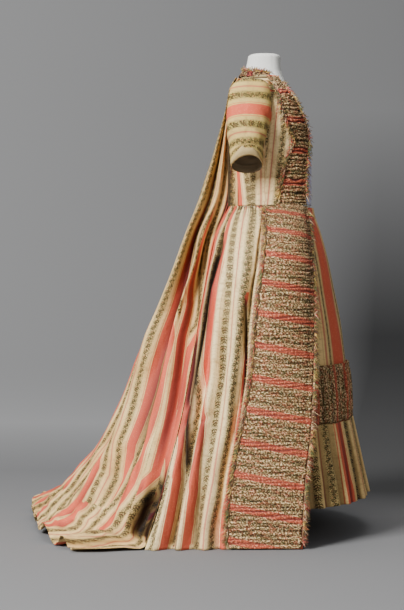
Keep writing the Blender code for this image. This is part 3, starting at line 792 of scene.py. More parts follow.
# the bodice
bodice = {
    "edge": (       # height, and how far the robe's front edge is from the middle
        (1.352, 0.062),
        (1.330, 0.088),
        (1.300, 0.124),
        (1.254, 0.130),
        (1.200, 0.113),
        (1.150, 0.102),
        (1.080, 0.107),
        (1.020, 0.102),
        (0.950, 0.090),
    ),
    "stand": 0.0052,
    "foot": 0.9585,
    "top": 1.347,
    "sideSeam": math.radians(112),
    "seamGap": math.radians(0.19),
    "armhole": (0.036, 1.247, 0.0455, 0.0675),  # middle y and z, half depth and half height
    "armholeReach": (0.10, 0.30),
    "armholeRounds": 72,
    "levels": 90,
    "columns": 60,
    "frontLumps": (26, 9),
    "backLumps": (22, 12),
    "waist": (1.06, 0.1),       # below this the wrinkles grow, over this height
    "calm": 0.35,
    "panelSeamY": -0.003,        # the side piece's seam, seen from the side
    "lean": 0.100,              # the stripes lean forward this much for each metre up
    "yokeFrom": 1.288,          # above this the stripes run over the shoulder
    "frontPlace": 0.0625,        # the stripe at the side piece's seam, on the front and behind it
    "sidePlace": 0.0815,
    "backPlace": 0.045,
    "yokePlace": 0.030,
    "wrinkle": 0.0011,
}


def edgeAngle(z, stand):
    half = rowAt(torso["rows"], z)[0] + stand
    share = min(float(smoothAt(*zip(*bodice["edge"]), z)) / half, 0.999)
    return math.asin(share ** (torso["power"] / 2))


def bodicePanel(side, spans, wrinkles):
    # one piece of the bodice between two angles at each height; side mirrors it
    heights = np.linspace(bodice["top"], bodice["foot"], bodice["levels"])
    lines = []
    for z in heights:
        first, last = spans(z)
        angles = np.linspace(first, last, bodice["columns"])
        lines.append(torsoPoints(side * angles, z, bodice["stand"]))
    grid = np.array(lines)
    waistAt, waistRise = bodice["waist"]
    waist = ease((waistAt - heights) / waistRise)[:, None]
    bumps = roughness(grid.shape[:2], wrinkles, 11) * bodice["wrinkle"]
    bumps *= bodice["calm"] + (1 - bodice["calm"]) * waist
    normal = gridNormals(grid) * (-side)
    grid += normal * bumps[..., None]
    lengths = lengthsAcross(grid)
    v = lengthsDown(grid)
    seam = np.array(
        [np.interp(bodice["panelSeamY"], line[:, 1], run) for line, run in zip(grid, lengths)]
    )
    u = seam[:, None] - lengths
    forward = u > 0
    place = np.where(forward, bodice["frontPlace"], bodice["sidePlace"])
    u = place + u - forward * bodice["lean"] * (heights[:, None] - bodice["foot"])
    return grid, u, v


def cutArmholes(piece):
    # the armhole is cut with the same oval as the sleeve's head covers
    y, z, deep, tall = bodice["armhole"]
    angles = np.linspace(0, tau, bodice["armholeRounds"], endpoint=False)
    ring = stacked(0.0, y + deep * np.cos(angles), z + tall * np.sin(angles))
    for side, word in sides:
        tube = np.array([ring + (side * reach, 0, 0) for reach in bodice["armholeReach"]])
        count = len(angles)
        faces = [(n, (n + 1) % count, count + (n + 1) % count, count + n) for n in range(count)]
        faces += [tuple(range(count))[::-1], tuple(range(count, 2 * count))]
        if side < 0:
            faces = [face[::-1] for face in faces]
        mesh = bpy.data.meshes.new("armhole")
        mesh.from_pydata([tuple(p) for p in tube.reshape(-1, 3)], [], faces)
        cutter = bpy.data.objects.new("armhole_" + word, mesh)
        bpy.context.scene.collection.objects.link(cutter)
        hole = piece.modifiers.new("armhole_" + word, "BOOLEAN")
        hole.operation = "DIFFERENCE"
        hole.object = cutter
        keepEvaluated(piece)
        bpy.data.objects.remove(cutter)


def keepEvaluated(piece):
    graph = bpy.context.evaluated_depsgraph_get()
    made = bpy.data.meshes.new_from_object(piece.evaluated_get(graph))
    piece.modifiers.clear()
    piece.data = made


def finishBodice(name, grid, u, v, side):
    # over the shoulder the stripes turn and run level
    high = (grid[:-1, :-1, 2] + grid[1:, 1:, 2]) / 2 > bodice["yokeFrom"]
    turned = np.where(high[..., None], cornersOf(v) + bodice["yokePlace"], cornersOf(u))
    piece = clothPiece(name, grid, turned, v, [litCopySilk, liningInShade], "striped_silk", outward=-side)
    cutArmholes(piece)
    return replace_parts(piece, name)


def buildBodice():
    for side, word in sides:
        grid, u, v = bodicePanel(
            side,
            lambda z: (edgeAngle(z, bodice["stand"]), bodice["sideSeam"] - bodice["seamGap"]),
            bodice["frontLumps"],
        )
        piece = finishBodice("bodice_front_" + word, grid, u, v, side)
    first = bodice["sideSeam"] + bodice["seamGap"]
    grid, u, v = bodicePanel(1, lambda z: (first, tau - first), bodice["backLumps"])
    lengths = lengthsAcross(grid)
    u = np.abs(lengths - lengths[:, -1:] / 2) + bodice["backPlace"]
    piece = finishBodice("bodice_back", grid, u, v, 1)


stomacher = {
    "foot": 0.962,
    "top": 1.222,
    "stand": 0.0022,
    "tuck": 1.16,               # how far it reaches behind the bodice's edges
    "rows": 70,
    "columns": 60,
    "lumps": (14, 8),
    "wrinkle": 0.0008,
    "thick": 0.0008,
}


def buildStomacher():
    stand = stomacher["stand"]
    lines = []
    for z in np.linspace(stomacher["top"], stomacher["foot"], stomacher["rows"]):
        reach = edgeAngle(z, stand) * stomacher["tuck"]
        lines.append(torsoPoints(np.linspace(-reach, reach, stomacher["columns"]), z, stand))
    grid = np.array(lines)
    bumps = roughness(grid.shape[:2], stomacher["lumps"], 5) * stomacher["wrinkle"]
    grid += gridNormals(grid) * -np.abs(bumps[..., None])
    piece = clothPiece(
        "stomacher",
        grid,
        lengthsAcross(grid),
        lengthsDown(grid),
        [lilac],
        "lilac_cotton",
        thick=stomacher["thick"],
        outward=-1,
    )
    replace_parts(piece, "stomacher")


# the sleeves
sleeve = {
    "rows": (       # x, y, z, tall, deep, tilt, squareness; the first ring lies on the bodice
        (None, 0.036, 1.247, 0.078, 0.055, 0, 2.0),
        (0.174, 0.042, 1.246, 0.078, 0.063, 8, 3.0),
        (0.193, 0.047, 1.206, 0.064, 0.060, 22, 2.5),
        (0.205, 0.050, 1.168, 0.055, 0.056, 38, 2.2),
        (0.211, 0.051, 1.136, 0.051, 0.051, 50, 2.0),
        (0.213, 0.050, 1.102, 0.048, 0.048, 60, 2.0),
        (0.215, 0.050, 1.069, 0.047, 0.045, 68, 2.0),
    ),
    "overlap": 0.0046,
    "arch": 0.014,
    "archStarts": 0.05,
    "archTurn": math.radians(18),
    "rounds": 96,
    "steps": 11,            # between each two rings
    "coralHeight": 1.234,       # the coral band runs level at this height
    "levelScale": 1.02,
    "bow": (0.011, 0.019),      # how much lower the bands lie at the front and at the back
    "cuffPlace": 0.0450,
    "headPleats": 9,
    "headTurn": 0.8,
    "headReach": 0.22,          # the pleats fade over this share of the length
    "headAt": 20,               # degrees forward of the outermost line
    "headSpread": 80,
    "pleatDepth": 0.0016,
    "lumps": (13, 9),
    "lumpHeight": 0.0032,
    "calm": 0.6,
    "joinColumns": 12,          # the lumps fade to the line where the cloth closes on itself
    "cuffSeam": (0.0014, 0.012),
    "cuffFrom": 0.86,       # the plain band at the end is sewn on here, as a share of the length
}


cuffFlap = {
    "reach": 78,                # degrees to either side of the outermost point
    "heights": (
        (-78, 0.003), (-50, 0.012), (-12, 0.028), (2, 0.019), (30, 0.021), (56, 0.017), (78, 0.003),
    ),
    "levels": 7,
    "stand": 0.0022,
    "bulge": 0.0065,
    "lean": 0.004,
    "overlap": 0.0015,
    "plainPlace": 0.0250,
    "bulgeTurn": 0.8,
    "slant": 0.1,               # how far its pattern shifts for each metre up
}


def besideBodice(y, z, stand):
    half, front, back = rowAt(torso["rows"], z)
    reach = (front if y < 0 else back) + stand
    power = torso["power"]
    return (half + stand) * (1 - (abs(y) / reach) ** power) ** (1 / power)


def sleeveRing(angles, row, side, arch):
    x, y, z, tall, deep, tilt, power = row
    up, forward = np.cos(angles), np.sin(angles)
    swell = (np.abs(up) ** power + np.abs(forward) ** power) ** (-1 / power)
    up, forward = up * swell * tall, forward * swell * deep
    if x is None:
        ys, zs = y - forward, z + up
        stand = bodice["stand"] + sleeve["overlap"]
        xs = [side * besideBodice(a, b, stand) for a, b in zip(ys, zs)]
        return stacked(np.array(xs), ys, zs)
    tilt = math.radians(tilt)
    frontTop = np.maximum(0.0, np.cos(angles - sleeve["archTurn"]))
    return stacked(
        side * (x + up * math.sin(tilt)),
        y - forward,
        z + up * math.cos(tilt) + arch * frontTop**1.5,
    )


def buildSleeves():
    rows = sleeve["rows"]
    angles = np.linspace(0, tau, sleeve["rounds"], endpoint=False)
    starts = rows[0][2] - sleeve["archStarts"]
    for side, word in sides:
        rings = []
        for row in rows:
            drop = float(ease((starts - row[2]) / (starts - rows[-1][2])))
            rings.append(sleeveRing(angles, row, side, sleeve["arch"] * drop))
        rings = np.array(rings)
        count = (len(rings) - 1) * sleeve["steps"] + 1
        grid = np.einsum("ab,bcd->acd", splineWeights(len(rings), count), rings)
        down = np.linspace(0, 1, count)[:, None]
        around = np.degrees(angles)[None, :]
        folds = np.cos(np.radians(around) * sleeve["headPleats"] + sleeve["headTurn"])
        folds = folds * bell(down, sleeve["headReach"]) * sleeve["pleatDepth"]
        folds *= bell((around + 180 - sleeve["headAt"]) % 360 - 180, sleeve["headSpread"])
        soft = roughness(grid.shape[:2], sleeve["lumps"], 21) * sleeve["lumpHeight"]
        soft *= np.sin(np.pi * down) ** sleeve["calm"]
        soft[:, -sleeve["joinColumns"]:] *= np.linspace(1, 0, sleeve["joinColumns"])
        seamDepth, seamWidth = sleeve["cuffSeam"]
        cuffFold = -seamDepth * bell(down - sleeve["cuffFrom"], seamWidth)
        grid += gridNormals(grid, closed=True) * (side * (folds + soft + cuffFold))[..., None]
        v = lengthsAcross(ringed(grid))
        bow = np.where(np.sin(angles) > 0, *sleeve["bow"]) * (1 - np.cos(angles))
        u = (sleeve["coralHeight"] - ringed(grid[..., 2] + bow)) * sleeve["levelScale"]
        band = u[int(sleeve["cuffFrom"] * count)]
        u = np.where(down > sleeve["cuffFrom"], u - band + sleeve["cuffPlace"], u)
        name = "sleeve_" + word
        piece = clothPiece(
            name, grid, u, v, [sleeveShadedSilk, liningInShade], "striped_silk", closed=True, outward=side
        )
        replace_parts(piece, name)
        buildCuffFlap(grid[-1], angles, side, word)


def buildCuffFlap(rim, angles, side, word):
    # the corner of the band, turned up over the outside of the sleeve
    flap = cuffFlap
    around = np.degrees((angles + math.pi) % tau - math.pi)
    order = np.argsort(around)
    order = order[np.abs(around[order]) <= flap["reach"]]
    around, rim = around[order], rim[order]
    heights = np.interp(around, *zip(*flap["heights"]))
    lines = []
    for t in np.linspace(0, 1, flap["levels"]):
        line = rim.copy()
        line[:, 0] += side * (flap["stand"] + flap["bulge"] * math.sin(math.pi * t * flap["bulgeTurn"]))
        line[:, 1] += flap["lean"] * t
        line[:, 2] += heights * t - flap["overlap"] * (1 - t)
        lines.append(line)
    grid = np.array(lines)
    u = np.full(grid.shape[:2], flap["plainPlace"]) + lengthsDown(grid) * flap["slant"]
    name = "cuff_flap_" + word
    across = lengthsAcross(grid)
    piece = clothPiece(name, grid, u, across, [cuffLining], "striped_silk", outward=-side)


# the robe's open skirt
skirt = {
    "gathers": 34,              # small ones under the waist seam
    "gatherFrom": (0.5, 0.08),
    "gatherUneven": (0.012, 29),
    "gatherFall": 0.034,
    "gatherHeight": 0.0016,
    "gatherRise": 0.0022,
    "gatherEdge": 0.008,
    "gatherShade": (0.7, 0.1),
    "lumps": (14, 16),
    "lumpHeight": 0.0026,
    "lumpsGrow": 0.2,
    "seamColumns": 3,           # kept smooth beside the sack
    "trimTo": 0.48,             # the skirt trim lies over the skirt up to this share
    "foot": 0.0012,
    "rows": (   # height, then x and y of the front edge, the trim's back edge and the back seam
        (0.9555, 0.084, -0.121, 0.156, 0.000, 0.088, 0.104),
        (0.925, 0.120, -0.123, 0.208, -0.003, 0.118, 0.120),
        (0.886, 0.167, -0.126, 0.262, -0.004, 0.152, 0.136),
        (0.794, 0.250, -0.131, 0.335, 0.001, 0.202, 0.156),
        (0.694, 0.300, -0.136, 0.375, 0.015, 0.246, 0.174),
        (0.579, 0.345, -0.136, 0.405, 0.026, 0.291, 0.192),
        (0.459, 0.385, -0.134, 0.428, 0.036, 0.335, 0.212),
        (0.330, 0.420, -0.130, 0.446, 0.060, 0.380, 0.236),
        (0.190, 0.448, -0.116, 0.463, 0.087, 0.430, 0.270),
        (0.080, 0.462, -0.109, 0.476, 0.100, 0.470, 0.300),
        (0.0006, 0.470, -0.107, 0.485, 0.102, 0.500, 0.328),
    ),
    "folds": (  # the large ones: share of the way to the back seam, width, depth outward, top
        (0.13, 0.050, -0.020, 0.955),
        (0.27, 0.070, 0.014, 0.950),
        (0.44, 0.060, -0.012, 0.880),
        (0.58, 0.060, 0.013, 0.930),
        (0.73, 0.055, -0.022, 0.940),
        (0.87, 0.055, 0.016, 0.940),
    ),
    "growth": 0.30,
    "creaseStart": 0.15,
    # creases listed one by one: (height, share) down their length, width, depth, rise at each end
    "creases": (
        (((0.958, 0.515), (0.85, 0.550), (0.70, 0.560), (0.56, 0.560)), 0.007, -0.016, 0.10, 0.20),
        (((0.72, 0.605), (0.60, 0.575), (0.52, 0.553), (0.44, 0.550), (0.30, 0.524), (0.12, 0.512)),
         0.009, -0.015, 0.12, 0.06),
        (((0.40, 0.810), (0.345, 0.790), (0.19, 0.750), (0.065, 0.725), (0.0, 0.720)),
         0.018, -0.014, 0.10, 0.02),
        (((0.36, 0.950), (0.30, 0.925), (0.19, 0.893), (0.13, 0.885), (0.0, 0.880)),
         0.014, -0.017, 0.10, 0.02),
        (((0.93, 0.905), (0.845, 0.895), (0.715, 0.925), (0.63, 0.920), (0.41, 0.940), (0.30, 0.965)),
         0.018, -0.022, 0.08, 0.08),
        (((0.955, 0.955), (0.90, 0.945), (0.82, 0.960), (0.74, 0.985)), 0.010, -0.006, 0.03, 0.10),
        (((0.955, 0.860), (0.90, 0.850), (0.83, 0.842)), 0.011, -0.0045, 0.02, 0.08),
        (((0.955, 0.800), (0.91, 0.792), (0.86, 0.785)), 0.010, -0.0035, 0.02, 0.06),
        (((0.955, 0.640), (0.80, 0.632), (0.55, 0.625), (0.30, 0.600)), 0.020, -0.0025, 0.10, 0.20),
        (((0.60, 0.735), (0.45, 0.728), (0.30, 0.700)), 0.016, -0.003, 0.12, 0.12),
        (((0.375, 0.745), (0.352, 0.800), (0.335, 0.845)), 0.020, -0.006, 0.010, 0.010),
        (((0.14, 0.575), (0.06, 0.590), (0.0, 0.600)), 0.014, -0.005, 0.06, 0.01),
        (((0.12, 0.660), (0.0, 0.672)), 0.016, 0.005, 0.08, 0.01),
        (((0.16, 0.810), (0.0, 0.800)), 0.018, 0.008, 0.10, 0.01),
    ),
    # the stripes: where each panel ends and where its stripe runs, and which place that stripe has
    "panels": (
        (((0.958, 0.515), (0.85, 0.550), (0.72, 0.560), (0.70, 0.605), (0.60, 0.575), (0.52, 0.553),
          (0.44, 0.550), (0.30, 0.524), (0.0, 0.505)), ((0.95, 0.500), (0.0, 0.500)), 0.0790),
        (((0.955, 0.820), (0.84, 0.815), (0.708, 0.768), (0.643, 0.765), (0.58, 0.762), (0.415, 0.767),
          (0.285, 0.763), (0.21, 0.750), (0.0, 0.745)),
         ((0.955, 0.695), (0.82, 0.693), (0.67, 0.677), (0.41, 0.670), (0.19, 0.630), (0.05, 0.645)),
         0.0690),
        (((0.955, 0.865), (0.84, 0.868), (0.795, 0.910), (0.726, 0.925), (0.62, 0.920), (0.50, 0.930),
          (0.36, 0.930), (0.26, 0.895), (0.185, 0.870), (0.0, 0.865)),
         ((0.955, 0.875), (0.84, 0.878), (0.70, 0.876), (0.50, 0.868), (0.415, 0.835), (0.285, 0.803),
          (0.21, 0.782), (0.158, 0.767), (0.0, 0.760)), 0.0),
        (((1.0, 9.0), (0.0, 9.0)),
         ((0.95, 1.120), (0.46, 1.120), (0.40, 1.0), (0.30, 0.960), (0.19, 0.912), (0.0, 0.900)),
         -0.1380),
    ),
    # how closely a panel's pattern is drawn together before and after its stripe, by height
    "scales": {
        1: (
            (0.955, 0.90, 1.00),
            (0.708, 0.72, 0.92),
            (0.643, 0.76, 0.85),
            (0.535, 0.88, 0.76),
            (0.415, 0.90, 0.84),
            (0.000, 0.90, 0.86),
        ),
        2: (
            (0.955, 0.45, 1.00),
            (0.500, 0.45, 1.00),
            (0.380, 0.90, 1.00),
            (0.000, 1.00, 1.00),
        ),
    },
    # places that lie in deep shade: (height, share) down their length, width, how deep, rises
    "shade": (
        (((0.87, 0.865), (0.84, 0.870), (0.795, 0.910), (0.726, 0.925), (0.62, 0.920), (0.50, 0.935),
          (0.36, 0.935), (0.26, 0.897), (0.18, 0.872)), 0.024, 1.0, 0.05, 0.06),
        (((0.60, 0.985), (0.50, 0.975), (0.36, 0.970)), 0.030, 0.8, 0.05, 0.05),
        (((0.958, 0.513), (0.93, 0.517), (0.88, 0.535)), 0.014, 1.0, 0.005, 0.05),
        (((0.72, 0.600), (0.60, 0.577), (0.52, 0.556), (0.44, 0.552), (0.36, 0.538)),
         0.012, 0.9, 0.06, 0.06),
        (((0.36, 0.535), (0.24, 0.518), (0.10, 0.512)), 0.014, 0.6, 0.05, 0.05),
        (((0.955, 0.930), (0.90, 0.945), (0.84, 0.960)), 0.010, 0.6, 0.02, 0.04),
        (((0.955, 0.885), (0.91, 0.880), (0.87, 0.872)), 0.008, 0.5, 0.02, 0.02),
        (((0.37, 0.825), (0.33, 0.800), (0.24, 0.790)), 0.014, 0.4, 0.02, 0.08),
    ),
    "shadeDepth": 0.0320,       # a crease this deep is wholly dark at its bottom
    "shadeSpread": 1.25,
    "levels": 132,
    "underTrim": 14,
    "behindTrim": 128,
}


def creaseLength(path, z, risesTop, risesFoot):
    # how much of a crease there is at this height: 1 along it, less near its ends, 0 past them
    top, foot = path[0][0], path[-1][0]
    started = skirt["creaseStart"]
    length = ease((top - z) / risesTop + started) * ease((z - foot) / risesFoot + started)
    return length * float(foot <= z <= top)


def skirtPoints(share, z, side, fine=True):
    frontX, frontY, sideX, sideY, backX, backY = rowAt(skirt["rows"], z)
    places = [(frontX, frontY), (sideX, sideY), (backX, backY)]
    angles = [math.atan2(x, -y) for x, y in places]
    reaches = [math.hypot(x, y) for x, y in places]
    blend = (
        (1 - share) * (1 - 2 * share),
        4 * share * (1 - share),
        share * (2 * share - 1),
    )
    angle = sum(b * a for b, a in zip(blend, angles))
    radius = sum(b * r for b, r in zip(blend, reaches))
    for at, width, depth, top in skirt["folds"]:
        grown = ease((top - z) / skirt["growth"])
        radius = radius + depth * grown * bell(2 * share - 1 - at, width)
    if fine:
        for path, width, depth, risesTop, risesFoot in skirt["creases"]:
            length = creaseLength(path, z, risesTop, risesFoot)
            radius = radius + depth * length * crease(share - pathAt(path, z), width)
    return stacked(side * radius * np.sin(angle), -radius * np.cos(angle), z)


def skirtScales(panel, heights):
    rows = skirt["scales"].get(panel, ((1.0, 1.0, 1.0), (0.0, 1.0, 1.0)))
    return np.array([rowAt(rows, z) for z in heights]).T


def skirtPaintedShade(share, z):
    # painted shade at each point: darker down in a crease, and in the listed places of deep shade
    deep = np.zeros_like(share)
    for path, width, depth, risesTop, risesFoot in skirt["creases"]:
        near = crease(share - pathAt(path, z), width * skirt["shadeSpread"])
        length = creaseLength(path, z, risesTop, risesFoot)
        deep = np.maximum(deep, -depth / skirt["shadeDepth"] * length * near)
    for path, width, much, risesTop, risesFoot in skirt["shade"]:
        top, foot = path[0][0], path[-1][0]
        length = ease((top - z) / risesTop) * ease((z - foot) / risesFoot)
        deep = np.maximum(deep, much * length * bell(share - pathAt(path, z), width))
    return deep


def buildSkirtSides():
    shares = np.concatenate(
        [
            np.linspace(0, skirt["trimTo"], skirt["underTrim"], endpoint=False),
            np.linspace(skirt["trimTo"], 1.0, skirt["behindTrim"]),
        ]
    )
    waist = skirt["rows"][0][0]
    heights = np.linspace(waist, skirt["foot"], skirt["levels"])
    fall = (waist - heights)[:, None]
    uneven, turns = skirt["gatherUneven"]
    turn = skirt["gathers"] * (shares + uneven * np.sin(shares * turns))
    start, rise = skirt["gatherFrom"]
    tucks = np.cos(turn * tau)[None, :] * bell(fall, skirt["gatherFall"])
    tucks = tucks * ease((shares - start) / rise)
    gatherShade, shadeFrom = skirt["gatherShade"]
    for side, word in sides:
        grid = np.array([skirtPoints(shares, z, side) for z in heights])
        soft = roughness(grid.shape[:2], skirt["lumps"], 31) * skirt["lumpHeight"]
        soft *= ease(fall / skirt["lumpsGrow"])
        soft[:, -skirt["seamColumns"]:] = 0
        soft += tucks * skirt["gatherHeight"]
        grid[..., 2] += tucks * skirt["gatherRise"] * bell(fall, skirt["gatherEdge"])
        grid[..., :2] += (gridNormals(grid) * (-side * soft)[..., None])[..., :2]
        panels = [
            (pathAt(end, heights), pathAt(middle, heights), place, skirtScales(n, heights))
            for n, (end, middle, place) in enumerate(skirt["panels"])
        ]
        u = panelled(grid, panels, shares)
        name = "robe_skirt_" + word
        # painted shade of the creases, the listed places and the small gathers' hollows
        deep = np.array([skirtPaintedShade(shares, z) for z in heights])
        deep = np.maximum(deep, gatherShade * ease(-tucks - shadeFrom))
        piece = clothPiece(
            name, grid, u, lengthsDown(grid), [litCopySilk], "striped_silk", outward=-side, deep=deep
        )
        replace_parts(piece, name)


# the sack back, from the nape to the end of the train
sack = {
    "rows": (   # middle y and z, then the side edge's z, x and y, how open and how flat
        (0.086, 1.340, 1.336, 0.074, 0.065, 0.00, 0.0),
        (0.104, 1.300, 1.295, 0.086, 0.0885, 0.00, 0.0),
        (0.120, 1.225, 1.215, 0.090, 0.0975, 0.00, 0.0),
        (0.141, 1.150, 1.135, 0.091, 0.0975, 0.00, 0.0),
        (0.162, 1.080, 1.060, 0.090, 0.0955, 0.02, 0.0),
        (0.193, 0.985, 0.962, 0.089, 0.106, 0.06, 0.0),
        (0.232, 0.880, 0.860, None, None, 0.16, 0.0),
        (0.264, 0.780, 0.765, None, None, 0.30, 0.0),
        (0.300, 0.680, 0.670, None, None, 0.48, 0.0),
        (0.341, 0.580, 0.570, None, None, 0.66, 0.0),
        (0.380, 0.475, 0.465, None, None, 0.82, 0.0),
        (0.416, 0.372, 0.360, None, None, 0.94, 0.0),
        (0.456, 0.280, 0.250, None, None, 1.00, 0.1),
        (0.498, 0.198, 0.140, None, None, 1.00, 0.25),
        (0.536, 0.130, 0.050, None, None, 1.00, 0.45),
        (0.560, 0.084, 0.0006, None, None, 1.00, 0.65),
        (0.578, 0.052, 0.0006, 0.520, 0.385, 1.00, 0.8),
        (0.592, 0.028, 0.0006, 0.545, 0.450, 1.00, 0.9),
        (0.600, 0.012, 0.0006, 0.550, 0.520, 1.00, 1.0),
    ),
    "knots": (  # across, out, across when open, wave, tuck
        (1.00, 0.00, 1.000, 0.000, 0.000),
        (0.80, 0.10, 0.985, -0.006, 0.045),
        (0.72, 0.28, 0.955, -0.004, 0.055),
        (0.96, 0.37, 0.915, 0.014, 0.010),
        (1.06, 0.47, 0.865, 0.018, 0.000),
        (0.78, 0.57, 0.800, -0.014, 0.000),
        (0.58, 0.67, 0.725, -0.020, 0.000),
        (0.86, 0.80, 0.640, 0.012, 0.000),
        (0.92, 0.93, 0.550, 0.022, 0.000),
        (0.60, 1.00, 0.450, 0.004, 0.000),
        (0.32, 1.02, 0.350, -0.012, 0.000),
        (0.10, 1.00, 0.245, 0.008, 0.000),
        (0.06, 0.90, 0.135, 0.016, 0.000),
        (0.14, 0.80, 0.060, 0.004, 0.000),
    ),
    "seamGap": 0.0022,
    "middle": (0.80, 0.20),     # how far out the knot at the middle stands, and how much it gains
    "wavesOpen": 1.3,
    "leastDepth": 0.03,
    "lieFlat": 0.012,           # the train's folds stand this much off the floor
    "lowest": 0.0006,
    "trainPower": 3.0,
    "trainSweep": 0.35,
    "downSteps": 8,
    "acrossSteps": 8,
    # how many down and across, the row from which they grow, and over how many rows
    "lumps": ((24, 44), 4, 7),
    "lumpHeight": 0.0042,
    "ripples": ((7, 110), 12, 5),
    "rippleHeight": 0.0046,
    "crumples": ((40, 110), 8, 6),
    "crumpleHeight": 0.0026,
    "crumpleShade": (0.30, 0.15),
    "calm": 0.3,                # how much of the lumps there is above all that
    "rippleSide": (0.35, 3, 3),
    "edgeRise": 0.8,
    "leftShift": 0.25,          # the left half's creases stand this much off the right half's
    "creaseFoot": 0.2,
    "foot": 0.0012,
    # the stripes on the right half: (row, knot) where each panel ends and where its stripe runs
    "panels": (
        (((0, 2.0), (6, 1.9), (9, 2.0), (12, 1.9), (18, 1.8)),
         ((0, -1.2), (8, -1.2), (9.3, 1.6), (12, 1.5), (13, 0.3), (14, 2.6), (18, 2.8)), -0.1380),
        (((0, 3.2), (6, 3.3), (9, 3.2), (12, 3.1), (18, 3.1)),
         ((0, 4.8), (5, 4.6), (6, 3.4), (7, 2.9), (8, 2.5), (9, 2.6), (10, 2.4), (11, 2.3), (12.5, 2.2),
          (13.5, 3.9), (18, 4.2)), -0.2760),
        (((0, 6.0), (7, 6.0), (9, 6.0), (12, 5.8), (14, 5.8), (14.35, 7.5), (18, 7.6)),
         ((0, 7.6), (5, 7.4), (6, 6.6), (7.4, 5.6), (8.4, 4.5), (9, 4.05), (10, 4.0), (13, 4.0), (14, 4.7),
          (15, 5.1), (16, 4.7), (17, 5.0), (18, 5.1)), -0.4140),
        (((0, 9.6), (18, 9.6)),
         ((0, 8.0), (8, 7.6), (10, 7.3), (12, 7.0), (13, 6.4), (14, 6.3), (18, 6.6)), -0.6000),
        (((0, 99), (18, 99)), ((0, 12.2), (9, 12.0), (18, 11.6)), -0.6900),
    ),
    "shadeDepth": 0.030,
    # places in deep shade: (row, knot) down their length, width in knots, how deep, rise at each end
    "shade": (
        (((2.4, 0.1), (4, 0.3), (5, 0.5), (6.2, 0.9)), 0.45, 0.95, 0.8, 0.8),
        (((5.5, 2.2), (7, 2.0), (8.4, 1.2)), 0.16, 0.80, 0.6, 0.6),
        (((6, 3.2), (7, 2.9), (8, 2.5), (9, 2.6), (10, 2.4), (13, 2.3)), 0.38, 0.50, 1.0, 1.5),
        (((3, 5.6), (8, 5.8), (11, 5.7), (13, 5.6)), 0.60, 0.70, 1.5, 2.0),
        (((12.15, 0.9), (13, 0.5), (14.2, 0.5), (14.7, 0.7)), 0.60, 1.00, 0.5, 0.25),
        (((12.3, 1.2), (13, 1.3), (14.6, 1.3)), 0.70, 1.00, 0.5, 0.25),
        (((12.7, 1.9), (13.2, 2.1), (14, 2.1), (14.6, 1.9)), 0.55, 1.00, 0.5, 0.3),
        (((2, 6.4), (6, 6.3), (9, 6.3)), 0.50, 0.45, 2.0, 2.0),
    ),
    # creases: (row, knot) down their length, width in knots, depth outward, rise at each end in rows
    "creases": (
        (((5, 1.9), (8, 1.8), (12, 1.6), (15, 1.6)), 0.45, -0.004, 2.0, 2.0),
        (((12.4, 1.0), (13.2, 1.6), (14, 2.0), (14.8, 2.1)), 0.50, -0.020, 0.8, 0.4),
        (((9, 5.7), (12, 5.5), (14, 5.6)), 0.30, -0.006, 2.0, 1.5),
        (((12, 7.9), (15, 7.6), (18, 7.4)), 0.22, -0.006, 2.0, 0.4),
        (((13, 6.6), (15, 6.9), (17, 6.9)), 0.20, -0.005, 1.0, 0.6),
        (((13, 3.5), (16, 3.7), (18, 3.8)), 0.24, -0.004, 1.2, 0.4),
        (((14, 8.8), (18, 8.5)), 0.20, -0.006, 1.2, 0.3),
        (((14, 9.9), (18, 9.7)), 0.22, -0.005, 1.2, 0.3),
        (((13, 11.0), (18, 10.9)), 0.22, -0.006, 1.5, 0.3),
        (((14, 12.2), (18, 12.0)), 0.24, -0.005, 1.5, 0.3),
        (((15, 13.2), (18, 13.1)), 0.20, -0.005, 1.0, 0.3),
        (((15, 5.2), (18, 5.6)), 0.18, -0.004, 0.8, 0.3),
        (((1, 9.0), (6, 9.2), (10, 9.3)), 0.25, -0.004, 1.0, 3.0),
    ),
}


def sackLine(row):
    midY, midZ, edgeZ, edgeX, edgeY, opened, flat = row
    if edgeX is None:
        edgeX, edgeY = rowAt(skirt["rows"], edgeZ)[4:]
    edgeY += sack["seamGap"]
    deep = midY - edgeY
    half = []
    for across0, out0, across1, wave, tuck in sack["knots"]:
        across = across0 + (across1 - tuck - across0) * opened
        out1 = 1 - across1 ** sack["trainPower"]
        out = out0 + (out1 - out0) * opened
        lift = wave * float(ease(sack["wavesOpen"] * opened))
        height = edgeZ + (midZ - edgeZ) * out
        swell = lift * (1 - flat) / max(deep, sack["leastDepth"])
        half.append((across, out + swell, height + max(lift + sack["lieFlat"], 0.0) * flat))
    least, gain = sack["middle"]
    middle = (0.0, least + gain * opened, midZ)
    points = []
    for side, knots in ((right, half), (0, [middle]), (left, half[::-1])):
        for across, out, height in knots:
            x = side * across * edgeX
            sweep = sack["trainSweep"] * (x + edgeX) * 0.5 * flat
            points.append((x, edgeY + deep * out + sweep, max(height, sack["lowest"])))
    return points


def sackLumps(grid, at, lumps, seed, least=0.0):
    # lumps over the cloth, which grow down the rows
    cells, start, rise = lumps
    grown = ease((at - start) / rise)[:, None]
    return roughness(grid.shape[:2], cells, seed) * (least + (1 - least) * grown)


